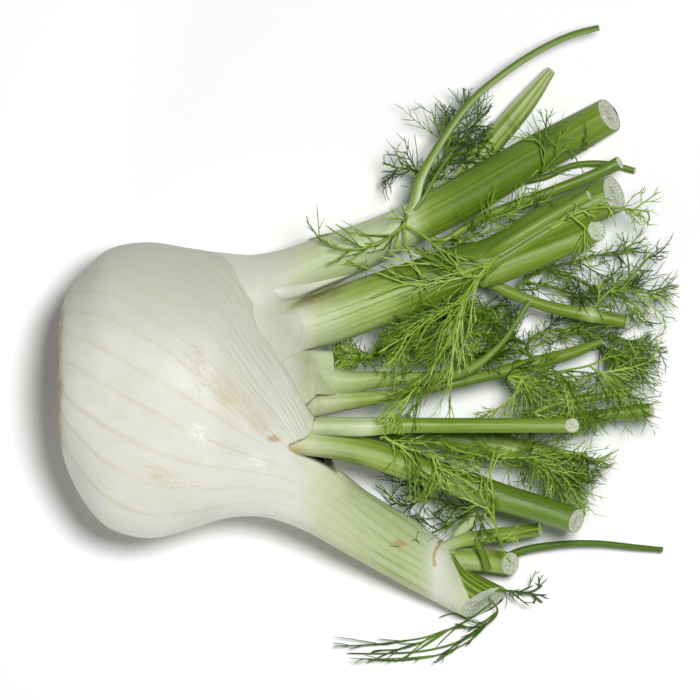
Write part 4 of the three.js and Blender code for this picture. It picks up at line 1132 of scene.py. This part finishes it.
def sheath_material():
    n = Nodes("fennel_sheath")
    place = n.place()
    green, vein, fan = n.value("green"), n.value("vein"), n.vector("fan")
    x, y, _ = n.parts(place)
    on_bulb = n.curve(x, 0.078, 0.05)
    crowded = n.curve(x, 0.0, 0.045)

    # Veins: a strong one at each guide, fainter ones between, and fine combed ones near the free edge.
    course = n.plus(vein, n.shift(n.noise(place, 70, 2), 0.1))

    def lines(count, width):
        off = n.math("PINGPONG", n.times(course, float(count)), 0.5)
        return n.times(n.curve(off, width, 0.0), on_bulb)

    strong = n.times(lines(1, 0.17), n.curve(n.noise(place, 40, 2), 0.3, 0.6, 0.3, 1.0),
                     n.curve(crowded, 0.0, 1.0, 1.0, 0.6))
    faint = n.times(lines(4, 0.3), n.curve(n.noise(place, 60, 3), 0.42, 0.7),
                    n.curve(crowded, 0.0, 1.0, 1.0, 1.8))
    combed = n.times(lines(8, 0.3), n.curve(vein, 3.4, 1.2), n.curve(x, -0.002, 0.02),
                     n.curve(n.noise(n.scaled(fan, (1.2, 0.3, 1)), 2.0, 3), 0.36, 0.56))

    cloudy = n.noise(place, 30, 4, 0.6)
    streaky = n.noise(n.scaled(fan, (1.0, 0.5, 1)), 2.2, 4, 0.6)
    colour = n.mix(n.curve(cloudy, 0.35, 0.7), WHITE, CREAM)
    colour = n.mix(n.curve(streaky, 0.45, 0.8, 0.0, 0.5), colour, STREAK)
    # Painted shade, with some greyer tint: the bulb gets darker towards its upper right, where less light
    # falls.
    colour = n.mix(n.curve(n.plus(y, n.times(x, 0.6)), -0.005, 0.045), colour, PAINTED_SHADE)
    colour = n.mix(n.curve(green, 0.0, 0.15), colour, stalk_colour(n, green, place)[0])

    # Marks on the upper side, and near-white painted glints that stand in for highlights, broken up by a
    # noise that is drawn out along the veins.
    drawn = n.noise(n.scaled(fan, (0.9, 0.36, 1)), 3.2, 5, 0.75)
    grain = n.noise(place, 900, 4, 0.75)
    both = n.plus(n.times(drawn, 0.62), n.times(grain, 0.38))

    def broken(mark, gain, low, high):
        return n.times(n.curve(n.plus(mark, n.shift(both, gain)), low, high), n.curve(mark, 0.02, 0.2))

    grazes, worn, painted_glints = n.parts(n.vector("marks"))
    grazes, worn = broken(grazes, 4.6, 0.45, 1.3), broken(worn, 3.2, 0.55, 1.2)
    painted_glints = broken(painted_glints, 5.0, 0.75, 1.3)
    for layer, share, paint in (
            (strong, 0.62, STRONG_VEIN), (faint, 0.3, FAINT_VEIN), (combed, 0.62, COMBED_VEIN),
            (grazes, 0.62, TAN), (worn, 0.7, BROWN), (painted_glints, 0.75, GLINT_WHITE)):
        colour = n.mix(n.times(layer, share), colour, paint)

    root = n.curve(n.plus(x, n.times(n.noise(place, 160, 3), 0.0035)), -0.0438, -0.0462)
    colour = n.mix(root, cut_face(n, colour), n.colours(n.noise(place, 420, 5, 0.7), *BARK))
    heights = n.plus(n.times(strong, 0.6), n.times(faint, 0.3), n.times(n.noise(place, 400, 4, 0.6), 0.35))
    heights = n.minus(heights, n.times(grazes, 0.7))
    rough = n.curve(n.noise(place, 200, 3), 0.3, 0.7, 0.42, 0.58)
    return n.finish(colour, rough, heights, 0.5, 0.00022, flesh=0.15, specular=0.3)


def stalk_material():
    n = Nodes("fennel_stalk")
    place = n.place()
    colour, streaks = stalk_colour(n, n.value("green"), place)
    # Painted shade with some olive-brown staining, below the lobe and below the heart block.
    shade_and_stain = n.times(n.value("shade_and_stain"), n.curve(n.noise(place, 300, 3), 0.25, 0.6, 0.5, 1.0))
    colour = n.mix(n.times(shade_and_stain, 0.75), colour, OLIVE_SHADE_AND_STAIN)
    # A browner patch in the stalk's streaks, on the lower stalk's base beside the sheath's lip.
    colour = n.mix(n.times(n.value("corner_brown"), n.curve(streaks, 0.3, 0.6, 0.55, 0.85)), colour, BROWN)
    fine = n.noise(n.scaled(n.vector("skin"), (2.6, 2.6, 0.05)), 2.2, 4, 0.6)
    heights = n.plus(fine, n.times(n.noise(place, 900, 3), 0.3))
    rough = n.curve(streaks, 0.3, 0.7, 0.34, 0.5)
    return n.finish(cut_face(n, colour), rough, heights, 0.45, 0.0002, flesh=0.08, specular=0.42)


def frond_material():
    n = Nodes("fennel_frond")
    place = n.place()
    shade = n.plus(n.value("tone"), n.shift(n.noise(place, 70, 3), 0.8))
    shade = n.minus(shade, n.times(n.value("tip"), 0.06))
    rough = n.curve(n.noise(place, 300, 2), 0.3, 0.7, 0.4, 0.55)
    return n.finish(n.colours(shade, *FROND_GREENS), rough, n.noise(place, 2500, 2), 0.2, 0.0001, flesh=0.0,
                    specular=0.4)


# ---------------------------------------------------------------- assembly

SHEATH, STALK, FROND = sheath_material(), stalk_material(), frond_material()
SLOTS = {"bulb": ("sheath", SHEATH), "inner_leaf": ("sheath", STALK)}


def dress(obj, material, node):
    obj.data.materials.append(material)
    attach(obj, "root")
    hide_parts(node)


for leaf, parts in LEAVES.items():
    slot, material = SLOTS.get(leaf, ("stalk", STALK))
    dress(add_mesh(leaf + "_skin", merge(parts)), material, leaf)

for seed, (frond, (style, stems)) in enumerate(FRONDS.items(), start=100):
    dress(make_frond(frond, style, stems, seed), FROND, frond)


# ---------------------------------------------------------------- stage, in metres

FLOOR_HALF = 6.0
CENTRE = (0.059, 0.015, 0.03)
SKY_STRENGTH = 0.055
# Place, size and power of each light.
LIGHTS = {"key": ((0.25, 0.16, 1.24), 0.3, 15.2), "fill": ((-0.45, -1.3, 0.4), 0.6, 6.8)}
CAMERA_OVER = (0.0592, 0.0148, 0.037)
CAMERA_DISTANCE = 2.5
FRAME_WIDTH = 0.259      # how much the picture shows, at the height of CAMERA_OVER
SENSOR = 36


def make_floor():
    n = Nodes("plain_floor")
    tint = n.mix(n.noise(n.place(), 3, 2), (0.95, 0.95, 0.95), (0.98, 0.98, 0.98))
    n.settings({"Base Color": tint, "Roughness": 0.9, "Specular IOR Level": 0.1})
    mesh = bpy.data.meshes.new("floor")
    corners = [(x * FLOOR_HALF, y * FLOOR_HALF, 0) for x, y in ((-1, -1), (1, -1), (1, 1), (-1, 1))]
    mesh.from_pydata(corners, [], [(0, 1, 2, 3)])
    mesh.materials.append(n.material)
    floor = add_object("floor", mesh)


def add_light(name, place, size, power):
    light = bpy.data.lights.new(name, "AREA")
    light.shape = "DISK"
    light.size = size
    light.energy = power
    obj = add_object(name, light)
    obj.location = place
    obj.rotation_euler = (Vector(CENTRE) - Vector(place)).to_track_quat("-Z", "Y").to_euler()


def set_stage():
    make_floor()
    for name, settings in LIGHTS.items():
        add_light(name, *settings)
    scene = bpy.context.scene
    scene.world = bpy.data.worlds.new("soft_sky")
    scene.world.use_nodes = True
    background = scene.world.node_tree.nodes["Background"]
    background.inputs["Color"].default_value = (1, 1, 1, 1)
    background.inputs["Strength"].default_value = SKY_STRENGTH
    scene.view_settings.view_transform = "Standard"

    camera = bpy.data.cameras.new("camera")
    camera.sensor_width = SENSOR
    camera.lens = SENSOR * CAMERA_DISTANCE / FRAME_WIDTH
    camera.clip_end = 20
    scene.camera = add_object("camera", camera)
    scene.camera.location = Vector(CAMERA_OVER) + Vector((0, 0, CAMERA_DISTANCE))


set_stage()
